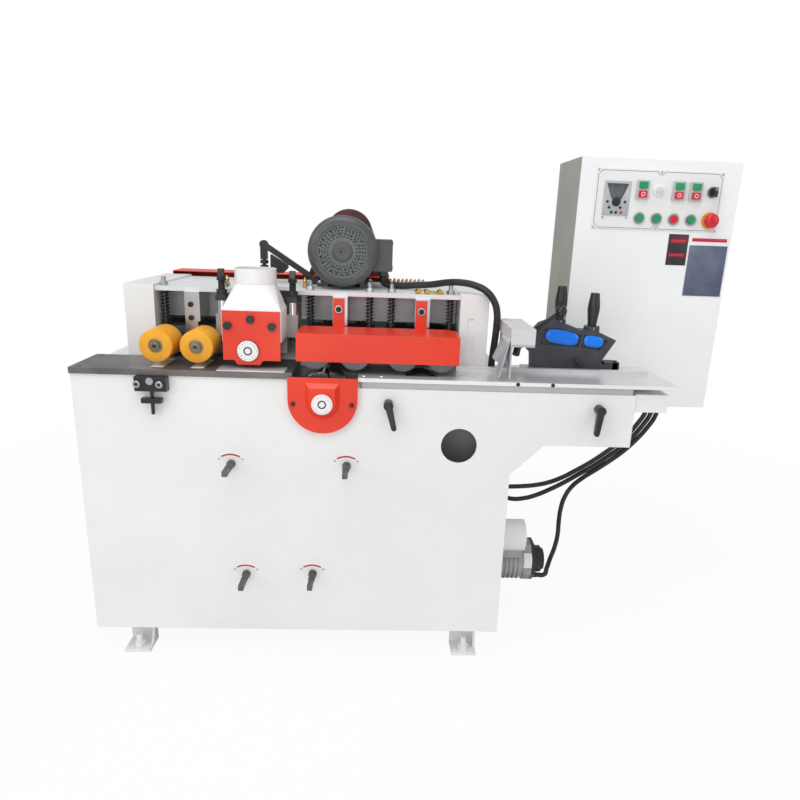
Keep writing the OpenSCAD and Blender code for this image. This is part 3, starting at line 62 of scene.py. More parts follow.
eye = at(695.7, -1428.1, 1065.9)
yaw, tilt, roll = 0.0418, 0.2783, 0.0374
image_px = 800
focal_px = 648.8
centre_px = (408.97, 409.89)
sensor_mm = 36
forward = Vector((math.sin(yaw) * math.cos(tilt), math.cos(yaw) * math.cos(tilt), -math.sin(tilt)))
level = Vector((math.cos(yaw), -math.sin(yaw), 0))
upright = level.cross(forward)
right = level * math.cos(roll) + upright * math.sin(roll)
up = upright * math.cos(roll) - level * math.sin(roll)
camera = bpy.data.objects.new("camera", bpy.data.cameras.new("camera"))
camera.data.sensor_width = sensor_mm
camera.data.lens = focal_px / image_px * sensor_mm
camera.data.shift_x = 0.5 - centre_px[0] / image_px
camera.data.shift_y = centre_px[1] / image_px - 0.5
camera.matrix_world = Matrix.Translation(eye) @ Matrix((right, up, -forward)).transposed().to_4x4()
scene.collection.objects.link(camera)
scene.camera = camera


# Cables. Three black rubber sheathed cables hang from glands under the control cabinet:
# two go into the machine's side and one down to the feed gearmotor. A fourth runs in a
# smooth black conduit from the motor's terminal box over the top plate to the cabinet top.
def finish(name, metallic=0.0, roughness=0.5):
    material = bpy.data.materials.new(name)
    material.use_nodes = True
    shader = material.node_tree.nodes["Principled BSDF"]
    shader.inputs["Metallic"].default_value = metallic
    shader.inputs["Roughness"].default_value = roughness
    return material, material.node_tree, shader


def plug(tree, made, values):
    for key, value in values.items():
        socket = made.inputs[key.replace("_", " ")]
        if isinstance(value, bpy.types.NodeSocket):
            tree.links.new(value, socket)
        else:
            socket.default_value = value
    return made


def node(tree, kind, settings=None, **sockets):
    made = tree.nodes.new(kind)
    for key, value in (settings or {}).items():
        setattr(made, key, value)
    return plug(tree, made, sockets)


def effect(name, inputs, outputs):
    tree = bpy.data.node_groups.new(name, "ShaderNodeTree")
    for label, kind, value in inputs:
        socket = tree.interface.new_socket(name=label, in_out="INPUT", socket_type=kind)
        socket.default_value = value
    for label, kind in outputs:
        tree.interface.new_socket(name=label, in_out="OUTPUT", socket_type=kind)
    return tree, tree.nodes.new("NodeGroupInput"), tree.nodes.new("NodeGroupOutput")


def place(tree, group, **values):
    made = tree.nodes.new("ShaderNodeGroup")
    made.node_tree = group
    return plug(tree, made, values)


# soft clouds and fine grain, for colour and roughness that are never quite even
clouds, g_in, g_out = effect(
    "clouds",
    [("Scale", "NodeSocketFloat", 6.0), ("Low", "NodeSocketFloat", 0.4), ("High", "NodeSocketFloat", 0.6)],
    [("Mask", "NodeSocketFloat"), ("Grain", "NodeSocketFloat")],
)
coords = node(clouds, "ShaderNodeTexCoord")
noise = node(clouds, "ShaderNodeTexNoise", Vector=coords.outputs["Object"], Scale=g_in.outputs["Scale"],
             Detail=5.0, Roughness=0.6)
ramp = node(clouds, "ShaderNodeMapRange", Value=noise.outputs["Fac"], From_Min=g_in.outputs["Low"],
            From_Max=g_in.outputs["High"])
grain = node(clouds, "ShaderNodeTexNoise", Vector=coords.outputs["Object"], Scale=900.0, Detail=2.0)
clouds.links.new(ramp.outputs["Result"], g_out.inputs["Mask"])
clouds.links.new(grain.outputs["Fac"], g_out.inputs["Grain"])

# a painted highlight in patches along every outer edge, and a normal that rounds the edge
edges, g_in, g_out = effect(
    "edge_light",
    [("Radius", "NodeSocketFloat", 0.0015), ("Spread", "NodeSocketFloat", 0.25)],
    [("Mask", "NodeSocketFloat"), ("Normal", "NodeSocketVector")],
)
soft = node(edges, "ShaderNodeBevel", {"samples": 4}, Radius=g_in.outputs["Radius"])
face = node(edges, "ShaderNodeNewGeometry")
turn = node(edges, "ShaderNodeVectorMath", {"operation": "DOT_PRODUCT"})
edges.links.new(soft.outputs["Normal"], turn.inputs[0])
edges.links.new(face.outputs["Normal"], turn.inputs[1])
patches = node(edges, "ShaderNodeTexNoise", Scale=45.0, Detail=4.0,
               Vector=node(edges, "ShaderNodeTexCoord").outputs["Object"])
bent = node(edges, "ShaderNodeMath", {"operation": "SUBTRACT"})
bent.inputs[0].default_value = 1.0
edges.links.new(turn.outputs["Value"], bent.inputs[1])
worn = node(edges, "ShaderNodeMath", {"operation": "MULTIPLY"})
edges.links.new(bent.outputs[0], worn.inputs[0])
edges.links.new(patches.outputs["Fac"], worn.inputs[1])
spread = node(edges, "ShaderNodeMapRange", Value=worn.outputs[0], From_Min=0.01,
              From_Max=g_in.outputs["Spread"])
edges.links.new(spread.outputs["Result"], g_out.inputs["Mask"])
edges.links.new(soft.outputs["Normal"], g_out.inputs["Normal"])


def mixed(tree, mask, first, second):
    made = node(tree, "ShaderNodeMix", {"data_type": "RGBA"})
    tree.links.new(mask, made.inputs["Factor"])
    for slot, value in ((6, first), (7, second)):
        if isinstance(value, bpy.types.NodeSocket):
            tree.links.new(value, made.inputs[slot])
        else:
            made.inputs[slot].default_value = (*value, 1)
    return made.outputs[2]


def spanned(tree, value, low, high):
    return node(tree, "ShaderNodeMapRange", Value=value, To_Min=low, To_Max=high).outputs["Result"]


def rubber(name, colour, lighter):
    material, tree, shader = finish(name)
    cloud = place(tree, clouds, Scale=14.0)
    bump = node(tree, "ShaderNodeBump", Strength=0.25, Distance=0.0004, Height=cloud.outputs["Grain"])
    plug(tree, shader, {"Base Color": mixed(tree, cloud.outputs["Mask"], colour, lighter),
                        "Roughness": spanned(tree, cloud.outputs["Grain"], 0.34, 0.56),
                        "Normal": bump.outputs["Normal"]})
    return material


cable_rubber = rubber("cable_rubber", (0.012, 0.012, 0.013), (0.024, 0.024, 0.026))
conduit_radius, cable_radius = 0.0085, 0.0065
conduit_route = [
    (687, 300, 935), (687, 300, 921), (698, 296, 913), (732, 285, 912), (775, 264, 916),
    (815, 240, 922), (850, 214, 930), (882, 186, 933), (912, 161, 929), (938, 142, 917),
    (957, 137, 894), (966, 139, 866), (968, 146, 836), (968, 153, 805), (967, 162, 772),
    (966, 168, 740), (966, 168, 717)]
trunk_route = [
    (1470, 352, 586), (1470, 352, 565), (1450, 350, 528), (1426, 346, 497), (1394, 338, 467),
    (1354, 328, 440), (1310, 318, 412), (1266, 310, 388), (1224, 304, 364), (1185, 300, 344),
    (1148, 298, 327), (1112, 297, 316), (1076, 297, 313), (1044, 300, 320), (1012, 300, 320)]
upper_route = [
    (1454, 352, 586), (1454, 352, 568), (1437, 350, 537), (1415, 346, 508), (1384, 338, 479),
    (1345, 328, 452), (1301, 318, 424), (1257, 310, 400), (1214, 304, 378), (1176, 301, 364),
    (1140, 300, 356), (1106, 300, 352), (1070, 300, 350), (1038, 300, 350), (1012, 300, 350)]
branch_route = [
    (1486, 352, 586), (1486, 352, 562), (1463, 350, 519), (1436, 346, 486), (1403, 338, 456),
    (1363, 328, 428), (1319, 318, 401), (1278, 310, 376), (1248, 305, 350), (1230, 302, 318),
    (1222, 300, 282), (1220, 298, 244), (1219, 292, 206), (1210, 278, 172), (1192, 252, 146),
    (1176, 220, 134), (1160, 190, 130), (1139, 190, 130)]
for name, route, radius, stands_for in (
        ("motor_lead", conduit_route, conduit_radius, "motor_conduit"),
        ("trunk_cable", trunk_route, cable_radius, "cable_bundle"),
        ("upper_cable", upper_route, cable_radius, "cable_bundle"),
        ("gearmotor_cable", branch_route, cable_radius, "cable_bundle")):
    line = bpy.data.curves.new(name, "CURVE")
    line.dimensions = "3D"
    line.bevel_depth = radius
    line.bevel_resolution = 5
    line.use_fill_caps = True
    line.resolution_u = 6
    spline = line.splines.new("BEZIER")
    spline.bezier_points.add(len(route) - 1)
    for knot, point in zip(spline.bezier_points, route):
        knot.co = at(*point)
        knot.handle_left_type = knot.handle_right_type = "AUTO"
    cable = bpy.data.objects.new(name, line)
    scene.collection.objects.link(cable)
    line.materials.append(cable_rubber)
    bpy.context.view_layer.update()
    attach(cable, "frame")
    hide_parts(stands_for)

# Studio. A pale floor and a pale room, one large soft lamp overhead and two softer ones
# from the front sides, as for a catalogue picture cut out on white.
floor_mesh = bmesh.new()
bmesh.ops.create_grid(floor_mesh, x_segments=1, y_segments=1, size=14)
floor_data = bpy.data.meshes.new("floor")
floor_mesh.to_mesh(floor_data)
floor_mesh.free()
floor = bpy.data.objects.new("floor", floor_data)
scene.collection.objects.link(floor)
pale, tree, shader = finish("pale_floor", roughness=0.9)
shader.inputs["Base Color"].default_value = (0.86, 0.86, 0.86, 1)
glow = node(tree, "ShaderNodeEmission", Color=(1, 1, 1, 1), Strength=1.0)
seen = node(tree, "ShaderNodeLightPath")
spot = node(tree, "ShaderNodeTexCoord").outputs["Object"]
away = node(tree, "ShaderNodeVectorMath", {"operation": "LENGTH"})
tree.links.new(spot, away.inputs[0])
near_share = node(tree, "ShaderNodeMapRange", Value=away.outputs["Value"],
                  From_Min=1.0, From_Max=2.6, To_Min=0.93, To_Max=1.0)
share = node(tree, "ShaderNodeMath", {"operation": "MULTIPLY"})
tree.links.new(seen.outputs["Is Camera Ray"], share.inputs[0])
tree.links.new(near_share.outputs[0], share.inputs[1])
blend = node(tree, "ShaderNodeMixShader")
tree.links.new(share.outputs[0], blend.inputs[0])
tree.links.new(shader.outputs[0], blend.inputs[1])
tree.links.new(glow.outputs[0], blend.inputs[2])
tree.links.new(blend.outputs[0], tree.nodes["Material Output"].inputs["Surface"])
floor_data.materials.append(pale)

room = bpy.data.worlds.new("room")
room.use_nodes = True
scene.world = room
tree = room.node_tree
tree.nodes.clear()
fill = node(tree, "ShaderNodeBackground", Color=(0.97, 0.98, 1.0, 1), Strength=0.54)
white = node(tree, "ShaderNodeBackground", Color=(1, 1, 1, 1), Strength=1.0)
seen = node(tree, "ShaderNodeLightPath")
blend = node(tree, "ShaderNodeMixShader")
tree.links.new(seen.outputs["Is Camera Ray"], blend.inputs[0])
tree.links.new(fill.outputs[0], blend.inputs[1])
tree.links.new(white.outputs[0], blend.inputs[2])
output = node(tree, "ShaderNodeOutputWorld")
tree.links.new(blend.outputs[0], output.inputs["Surface"])
scene.view_settings.view_transform = "Standard"

for name, place_at, target, size, power in (
        ("lamp_over", (300, -900, 3200), (800, 200, 600), 2.4, 43),
        ("lamp_left", (-1900, -2100, 1900), (700, 200, 600), 1.8, 20),
        ("lamp_front", (300, -2700, 1000), (700, 200, 800), 1.4, 9),
        ("lamp_right", (3400, -1500, 1700), (900, 200, 600), 1.6, 10)):
    lamp = bpy.data.objects.new(name, bpy.data.lights.new(name, "AREA"))
    lamp.data.size = size
    lamp.data.energy = power
    lamp.location = at(*place_at)
    aim = at(*target) - lamp.location
    lamp.rotation_euler = aim.to_track_quat("-Z", "Y").to_euler()
    scene.collection.objects.link(lamp)


# Painted sheet: the base cabinet, its feet and the head frame. Folded 3 mm steel sheet,
# sprayed off-white; the coat has a faint orange peel, and the folds are slightly rounded.
zone, g_in, g_out = effect(
    "zone",
    [("Low", "NodeSocketVector", (0, 0, 0)), ("High", "NodeSocketVector", (1, 1, 1))],
    [("Mask", "NodeSocketFloat")],
)
spot = node(zone, "ShaderNodeTexCoord").outputs["Object"]
above = node(zone, "ShaderNodeVectorMath", {"operation": "SUBTRACT"})
zone.links.new(spot, above.inputs[0])
zone.links.new(g_in.outputs["Low"], above.inputs[1])
below = node(zone, "ShaderNodeVectorMath", {"operation": "SUBTRACT"})
zone.links.new(g_in.outputs["High"], below.inputs[0])
zone.links.new(spot, below.inputs[1])
least = node(zone, "ShaderNodeVectorMath", {"operation": "MINIMUM"})
zone.links.new(above.outputs[0], least.inputs[0])
zone.links.new(below.outputs[0], least.inputs[1])
parts = node(zone, "ShaderNodeSeparateXYZ", Vector=least.outputs[0])
smaller = node(zone, "ShaderNodeMath", {"operation": "MINIMUM"})
zone.links.new(parts.outputs[0], smaller.inputs[0])
zone.links.new(parts.outputs[1], smaller.inputs[1])
smallest = node(zone, "ShaderNodeMath", {"operation": "MINIMUM"})
zone.links.new(smaller.outputs[0], smallest.inputs[0])
zone.links.new(parts.outputs[2], smallest.inputs[1])
inside = node(zone, "ShaderNodeMath", {"operation": "GREATER_THAN"})
zone.links.new(smallest.outputs[0], inside.inputs[0])
inside.inputs[1].default_value = 0.0
zone.links.new(inside.outputs[0], g_out.inputs["Mask"])

# how each finish looks: two colours that cloud into each other, roughness, metallic,
# the size of the clouds and the depth of the grain in millimetres
PAINT_WHITE = ((0.78, 0.78, 0.765), (0.83, 0.83, 0.82), 0.36, 0.0, 3.0, 0.05)
PAINT_PLATE = ((0.70, 0.71, 0.72), (0.77, 0.78, 0.79), 0.40, 0.0, 4.0, 0.05)
PAINT_BLOCK = ((0.27, 0.275, 0.265), (0.35, 0.355, 0.34), 0.40, 0.35, 8.0, 0.06)
PAINT_GREY = ((0.50, 0.51, 0.51), (0.58, 0.59, 0.59), 0.42, 0.0, 4.0, 0.05)
PAINT_RED = ((0.72, 0.030, 0.008), (0.80, 0.045, 0.012), 0.30, 0.0, 5.0, 0.04)
# red darkened to maroon: painted shade on the belt guard
PAINTED_SHADE_RED = ((0.050, 0.005, 0.006), (0.075, 0.008, 0.009), 0.30, 0.0, 5.0, 0.05)
PAINT_BLACK = ((0.012, 0.012, 0.013), (0.022, 0.022, 0.024), 0.34, 0.0, 8.0, 0.08)
PAINT_MOTOR = ((0.062, 0.066, 0.071), (0.088, 0.093, 0.099), 0.34, 0.0, 8.0, 0.10)
FAN_FACE = ((0.075, 0.092, 0.086), (0.105, 0.125, 0.117), 0.26, 0.3, 8.0, 0.06)
PAINT_CASE = ((0.84, 0.845, 0.84), (0.89, 0.895, 0.89), 0.45, 0.0, 4.0, 0.06)
# a darker olive grey: painted shade on the control cabinet's left wall
PAINTED_SHADE_OLIVE = ((0.33, 0.325, 0.285), (0.40, 0.395, 0.35), 0.45, 0.0, 4.0, 0.06)
CAST_CHARCOAL = ((0.035, 0.038, 0.046), (0.055, 0.058, 0.068), 0.50, 0.0, 14.0, 0.20)
BLUED_TABLE = ((0.135, 0.122, 0.118), (0.220, 0.202, 0.194), 0.34, 0.55, 7.0, 0.08)
GROUND_STEEL = ((0.66, 0.66, 0.665), (0.79, 0.79, 0.79), 0.30, 0.55, 5.0, 0.06)
MACHINED = ((0.40, 0.41, 0.42), (0.55, 0.56, 0.57), 0.28, 0.95, 10.0, 0.05)
DARK_STEEL = ((0.10, 0.105, 0.11), (0.17, 0.175, 0.18), 0.40, 0.80, 10.0, 0.08)
CHROMED = ((0.70, 0.70, 0.71), (0.78, 0.78, 0.79), 0.08, 1.0, 8.0, 0.01)
ZINC = ((0.48, 0.51, 0.55), (0.60, 0.63, 0.66), 0.38, 0.6, 9.0, 0.05)
ROLLER_RUBBER = ((0.78, 0.33, 0.010), (0.88, 0.42, 0.025), 0.52, 0.0, 12.0, 0.10)
NYLON = ((0.70, 0.68, 0.62), (0.76, 0.74, 0.69), 0.45, 0.0, 10.0, 0.05)
GREEN_CAP = ((0.010, 0.27, 0.09), (0.014, 0.32, 0.11), 0.25, 0.0, 10.0, 0.01)
RED_CAP = ((0.62, 0.010, 0.028), (0.70, 0.014, 0.038), 0.22, 0.0, 10.0, 0.01)
BLACK_CAP = ((0.014, 0.014, 0.015), (0.022, 0.022, 0.024), 0.28, 0.0, 10.0, 0.02)
BLUE_GLASS = ((0.002, 0.17, 0.84), (0.004, 0.24, 0.95), 0.14, 0.0, 6.0, 0.01)
BRASS = ((0.62, 0.42, 0.13), (0.72, 0.52, 0.20), 0.26, 1.0, 10.0, 0.03)


def coat(name, look, zones=(), radius=0.0012):
    first, second, roughness, metallic, cloud_scale, grain_mm = look
    material, tree, shader = finish(name)
    cloud = place(tree, clouds, Scale=cloud_scale, Low=0.35, High=0.65)
    edge = place(tree, edges, Radius=radius)
    colour = mixed(tree, cloud.outputs["Mask"], first, second)
    rough = spanned(tree, cloud.outputs["Grain"], roughness - 0.06, roughness + 0.06)
    for low, high, other in zones:
        zone_first, zone_second, zone_rough, zone_metallic = other[:4]
        mask = place(tree, zone, Low=at(*low), High=at(*high)).outputs["Mask"]
        there = mixed(tree, cloud.outputs["Mask"], zone_first, zone_second)
        colour = mixed(tree, mask, colour, there)
        rough = spanned(tree, mask, rough, zone_rough)
        metallic = spanned(tree, mask, metallic, zone_metallic)
    # the edges take a lighter colour here: a painted highlight
    lighter = node(tree, "ShaderNodeHueSaturation", Value=1.35, Saturation=0.92, Color=colour)
    bump = node(tree, "ShaderNodeBump", Strength=0.5, Distance=grain_mm / 1000,
                Height=cloud.outputs["Grain"], Normal=edge.outputs["Normal"])
    plug(tree, shader, {"Base Color": mixed(tree, edge.outputs["Mask"], colour, lighter.outputs[0]),
                        "Roughness": rough, "Metallic": metallic, "Normal": bump.outputs["Normal"]})
    return material


def dress(material, *names):
    for name in names:
        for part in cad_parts[name].material_slots:
            part.material = material


dress(coat("white_coat", PAINT_WHITE), "base_cabinet", "head_frame", "mounting_feet", "dust_hood")

# Outfeed end. A thick blued table plate with two white wear strips let in under the yellow
# rollers and a ground wear plate under the head; at its left end hangs a black end block
# with two socket bolts and a drop rod.
UP, FRONT, BACK = (0, 0, 1), (0, -1, 0), (0, 1, 0)
FAR = 3000


def turned(mesh, profile, centre, along=BACK, side=None, sweep=math.tau, steps=40):
    axis = Vector(along).normalized()
    out = Vector(side).normalized() if side else axis.orthogonal().normalized()
    middle = at(*centre)
    ring = [mesh.verts.new(middle + out * (r / 1000) + axis * (a / 1000)) for r, a in profile]
    line = [mesh.edges.new(pair) for pair in zip(ring, ring[1:])]
    bmesh.ops.spin(mesh, geom=ring + line, cent=middle, axis=axis, angle=sweep, steps=steps,
                   use_merge=sweep == math.tau)
    bmesh.ops.remove_doubles(mesh, verts=mesh.verts, dist=1e-6)


def bevelled(mesh, geom, width, segments, affect="EDGES"):
    bmesh.ops.bevel(mesh, geom=geom, offset=width / 1000, segments=segments, profile=0.5,
                    affect=affect, material=-1)


def slab(mesh, low, high, soften=0.0):
    low, high = at(*low), at(*high)
    made = bmesh.ops.create_cube(mesh, size=1, matrix=Matrix.Translation((low + high) / 2)
                                 @ Matrix.Diagonal((*(high - low), 1)))
    if soften:
        bevelled(mesh, list({e for v in made["verts"] for e in v.link_edges}), soften, 2)


def cut_out(mesh, outline, y0, y1, soften=0.0):
    face = mesh.faces.new([mesh.verts.new(at(x, y0, z)) for x, z in outline])
    if soften:
        bevelled(mesh, list(face.verts), soften, 3, "VERTICES")
        face = face if face.is_valid else list(mesh.faces)[-1]
    made = bmesh.ops.extrude_face_region(mesh, geom=[face])
    bmesh.ops.translate(mesh, vec=(0, (y1 - y0) / 1000, 0),
                        verts=[v for v in made["geom"] if isinstance(v, bmesh.types.BMVert)])


def hexagon(mesh, centre, across, length, along=FRONT):
    turn = Vector(along).to_track_quat("Z", "Y").to_matrix().to_4x4()
    middle = Matrix.Translation(at(*centre) + Vector(along).normalized() * length / 2000)
    corner_r = across / 1732
    made = bmesh.ops.create_cone(mesh, cap_ends=True, segments=6, radius1=corner_r, radius2=corner_r,
                                 depth=length / 1000, matrix=middle @ turn)
    bevelled(mesh, list({e for v in made["verts"] for e in v.link_edges}), across * 0.03, 1)


def socket_screw(mesh, centre, r, high, along=FRONT):
    turned(mesh, [(0, high * 0.35), (r * 0.5, high * 0.35), (r * 0.5, high), (r * 0.86, high),
                  (r, high * 0.84), (r, -0.2)], centre, along, steps=24)


def washer(mesh, centre, hole, r, high, along=FRONT):
    turned(mesh, [(hole, -0.2), (hole, high), (r - 0.4, high), (r, high - 0.4), (r, -0.2)],
           centre, along, steps=32)


def piece(name, mesh, material, body="frame", stands_for=(), sharp=35):
    bmesh.ops.recalc_face_normals(mesh, faces=mesh.faces)
    data = bpy.data.meshes.new(name)
    mesh.to_mesh(data)
    mesh.free()
    data.materials.append(material)
    data.shade_smooth()
    data.set_sharp_from_angle(angle=math.radians(sharp))
    made = bpy.data.objects.new(name, data)
    scene.collection.objects.link(made)
    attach(made, body)
    if stands_for:
        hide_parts(*stands_for)
    return made


table_top, block_front = 737, -20
strip_y, strip_w, strip_l = 19, 32, 94
dress(coat("blued_plate", BLUED_TABLE, [
    ((x, strip_y, table_top + 0.2), (x + strip_w, strip_y + strip_l, FAR), NYLON) for x in (168, 258)]),
    "outfeed_table")
dress(coat("black_coat", PAINT_BLACK), "end_block", "tension_arm", "clamp_lever_left", "clamp_lever_right")
mesh = bmesh.new()
slab(mesh, (322, -4.4, table_top - 0.1), (474, 47, table_top + 2.4), 1.1)
piece("head_wear_plate", mesh, coat("ground_plate", GROUND_STEEL))
bright = coat("bright_fastener", MACHINED, radius=0.0005)
black_oxide = coat("black_fastener", PAINT_BLACK, radius=0.0005)
mesh = bmesh.new()
for x in (153, 202):
    socket_screw(mesh, (x, block_front, 707), 8, 7)
turned(mesh, [(0, 1.8), (7.4, 1.8), (8.2, 1.0), (8.2, -0.2)], (180, block_front, 713), FRONT)
piece("end_block_bolts", mesh, bright)
mesh = bmesh.new()
for x in (18, 58):
    for y in (12, 130):
        turned(mesh, [(0, -2.2), (2.4, -2.2), (2.4, -0.6), (5.4, -0.5)], (x, y, table_top), UP, steps=24)
piece("table_screws", mesh, black_oxide)

# Setting scales. Four printed arc plates riveted over the adjusting shafts: white enamel
# with one red line and no figures. The shafts are dark, with square ends for a crank.
ENAMEL = ((0.80, 0.79, 0.78), (0.85, 0.84, 0.83), 0.30, 0.0, 8.0, 0.01)
PRINT_RED = ((0.50, 0.015, 0.04), (0.58, 0.02, 0.05), 0.35, 0.0, 8.0, 0.01)
white_enamel = coat("white_enamel", ENAMEL)
red_print = coat("red_print", PRINT_RED)
dress(coat("dark_shaft", DARK_STEEL), "adjuster_1", "adjuster_2", "adjuster_3", "adjuster_4")
plate_in, plate_out, line_in, line_out = 33, 48, 39.4, 43.4
plate_half, line_half, rivet_half = 46, 31, 41
rivet_r = (plate_in + plate_out) / 2
plates, lines, rivets = bmesh.new(), bmesh.new(), bmesh.new()
for x, z in ((346, 498), (613, 499), (372, 212), (533, 215)):
    for target, half, profile in (
            (plates, plate_half, [(plate_in, -0.2), (plate_in, 0.5), (plate_in + 0.4, 0.8),
                                  (plate_out - 0.4, 0.8), (plate_out, 0.5), (plate_out, -0.2),
                                  (plate_in, -0.2)]),
            (lines, line_half, [(line_in, 0.7), (line_in, 1.0), (line_out, 1.0), (line_out, 0.7),
                                (line_in, 0.7)])):
        start = math.radians(90 - half)
        turned(target, profile, (x, 0, z), FRONT, (math.cos(start), 0, math.sin(start)),
               math.radians(2 * half), 24)
    for side in (-1, 1):
        a = math.radians(90 + side * rivet_half)
        turned(rivets, [(0, 2.0), (1.5, 1.8), (2.6, 1.2), (3.0, 0.6)],
               (x + rivet_r * math.cos(a), 0, z + rivet_r * math.sin(a)), FRONT, steps=20)
for mesh in (plates, lines):
    bmesh.ops.holes_fill(mesh, edges=[e for e in mesh.edges if e.is_boundary], sides=8)
piece("setting_scales", plates, white_enamel)
piece("scale_lines", lines, red_print)
piece("scale_rivets", rivets, bright)

# Cutter covers. Folded sheet sprayed red, screwed on with black screws; each carries a
# white enamel dial with a black ring and bare graduations.
lower_x, boss_half = 559, 66
dress(coat("red_coat", PAINT_RED), "roller_guard")
dress(coat("cutter_cover_coat", PAINT_RED, [((0, -FAR, 0), (FAR, 19.9, FAR), PAINT_BLACK)]), "cutter_cover")
dress(coat("lower_cover_coat", PAINT_RED, [
    ((485, -FAR, 660), (500, -10.9, 676), PAINT_BLACK), ((618, -FAR, 660), (632, -10.9, 676), PAINT_BLACK)]),
    "lower_cutter_cover")
dial_marks, marks_out, long_in, short_in = 20, 21, 16, 18.6
for name, body, centre in (
        ("lower_dial", "frame", (lower_x, -24, 671)), ("upper_dial", "head", (390, 16, 780))):
    mesh = bmesh.new()
    turned(mesh, [(0, 1.2), (6.6, 1.2), (6.6, 0.8), (23, 0.8), (23.6, 0.3), (23.6, -1.6)], centre, FRONT,
           steps=64)
    piece(name, mesh, white_enamel, body)
    mesh = bmesh.new()
    turned(mesh, [(6.7, 0.7), (6.7, 1.3), (9.6, 1.3), (9.6, 0.7)], centre, FRONT, steps=48)
    x, y, z = centre
    for k in range(dial_marks):
        a = math.radians(-54 + 360 / dial_marks * k)
        inner = long_in if k % 5 == 0 else short_in
        mid_r = (inner + marks_out) / 2
        middle = at(x + mid_r * math.cos(a), y - 0.9, z + mid_r * math.sin(a))
        bmesh.ops.create_cube(mesh, size=1, matrix=Matrix.Translation(middle) @ Matrix.Rotation(-a, 4, "Y")
                              @ Matrix.Diagonal(((marks_out - inner) / 1000, 0.0004, 0.0006, 1)))
    piece(name + "_marks", mesh, black_oxide, body)
mesh = bmesh.new()
for x in (lower_x - boss_half, lower_x + boss_half):
    socket_screw(mesh, (x, -14.8, 668), 4.4, 1.6)
piece("lower_cover_screws", mesh, black_oxide)

# Screws of the roller guard. Its two tabs are bolted to the guide bars of the feed units,
# each by a black socket screw on a bright washer.
mesh, screws = bmesh.new(), bmesh.new()
for x in (583, 783):
    tab_front = (x, 147.4, 863)
    washer(mesh, tab_front, 5, 9.5, 1.4)
    socket_screw(screws, tab_front, 6.8, 6)
piece("guard_washers", mesh, bright)
piece("guard_screws", screws, black_oxide)

# Outfeed rollers. A thick orange-yellow rubber tyre is bonded to a steel hub, of which a
# small ring shows in front. The shaft runs through the sprung unit to a small sprocket; a
# bronzed hexagon nut and a black bolt end hold the roller.
plate_under, plate_top = 893, 903
dress(coat("dark_steel", DARK_STEEL), "lower_housing", "feed_wheel_1", "feed_wheel_2", "feed_wheel_3",
      "feed_wheel_4", "lower_feed_roller")
dress(coat("unit_steel", DARK_STEEL, [((0, 0, plate_top + 0.1), (FAR, FAR, FAR), MACHINED)]), "outfeed_unit",
      "feed_unit_left", "feed_unit_right")
dress(coat("block_grey", PAINT_BLOCK), "upper_head")
BRONZED = ((0.17, 0.145, 0.10), (0.28, 0.24, 0.17), 0.32, 0.75, 10.0, 0.05)
HUB_STEEL = ((0.20, 0.20, 0.19), (0.30, 0.30, 0.29), 0.38, 0.8, 10.0, 0.05)
bronze = coat("bronzed_nut", BRONZED, radius=0.0006)
tyre_rubber = coat("tyre_rubber", ROLLER_RUBBER, radius=0.002)
hub_steel = coat("hub_steel", HUB_STEEL, radius=0.0006)
roller_z, tyre_r, tyre_y0, tyre_y1 = 785, 37, 22, 104
teeth, root_r, tip_r = 12, 28.5, 33.6
for name, x in (("outfeed_roller_left", 184), ("outfeed_roller_right", 274)):
    axis = (x, 0, roller_z)
    mesh = bmesh.new()
    turned(mesh, [(15.2, tyre_y0 + 2.5), (15.2, tyre_y0 + 0.8), (16, tyre_y0), (tyre_r - 2.4, tyre_y0),
                  (tyre_r - 0.6, tyre_y0 + 0.8), (tyre_r, tyre_y0 + 2.6), (tyre_r, tyre_y1 - 2.6),
                  (tyre_r - 0.6, tyre_y1 - 0.8), (tyre_r - 2.4, tyre_y1), (10.5, tyre_y1)], axis, steps=72)
    piece(name + "_tyre", mesh, tyre_rubber, name, [name])
    mesh = bmesh.new()
    turned(mesh, [(10, 21), (10, 20), (8.5, 20)], axis)
    turned(mesh, [(10, 26), (10, 22.6), (10.6, 21.8), (13.6, 21.8), (15, 23), (15, 29)], axis, steps=64)
    turned(mesh, [(10.02, tyre_y1), (14, tyre_y1), (14, 108), (10, 108), (10, 160), (10, 300.4), (15, 300.4),
                  (15, 312), (10, 312), (10, 371), (9, 372), (0, 372)], axis)
    spots = [(r, math.radians(360 / teeth * k + a))
             for k in range(teeth) for a, r in ((-9, root_r), (9, root_r), (13, tip_r), (17, tip_r))]
    cut_out(mesh, [(x + r * math.cos(a), roller_z + r * math.sin(a)) for r, a in spots], 340, 352)
    piece(name + "_hub", mesh, hub_steel, name, [name])
    mesh, end = bmesh.new(), bmesh.new()
    hexagon(mesh, (x, 26, roller_z), 21, 11)
    turned(end, [(0, 14.6), (3.8, 14.6), (4.4, 15.4), (4.4, 16.6)], axis, steps=32)
    piece(name + "_bolt", end, black_oxide, name)
    turned(mesh, [(4.5, 16.5), (4.6, 16.5), (4.6, 13), (7.2, 13), (7.8, 13.6), (7.8, 15.2)], axis, steps=32)
    piece(name + "_nut", mesh, bronze, name, [name])

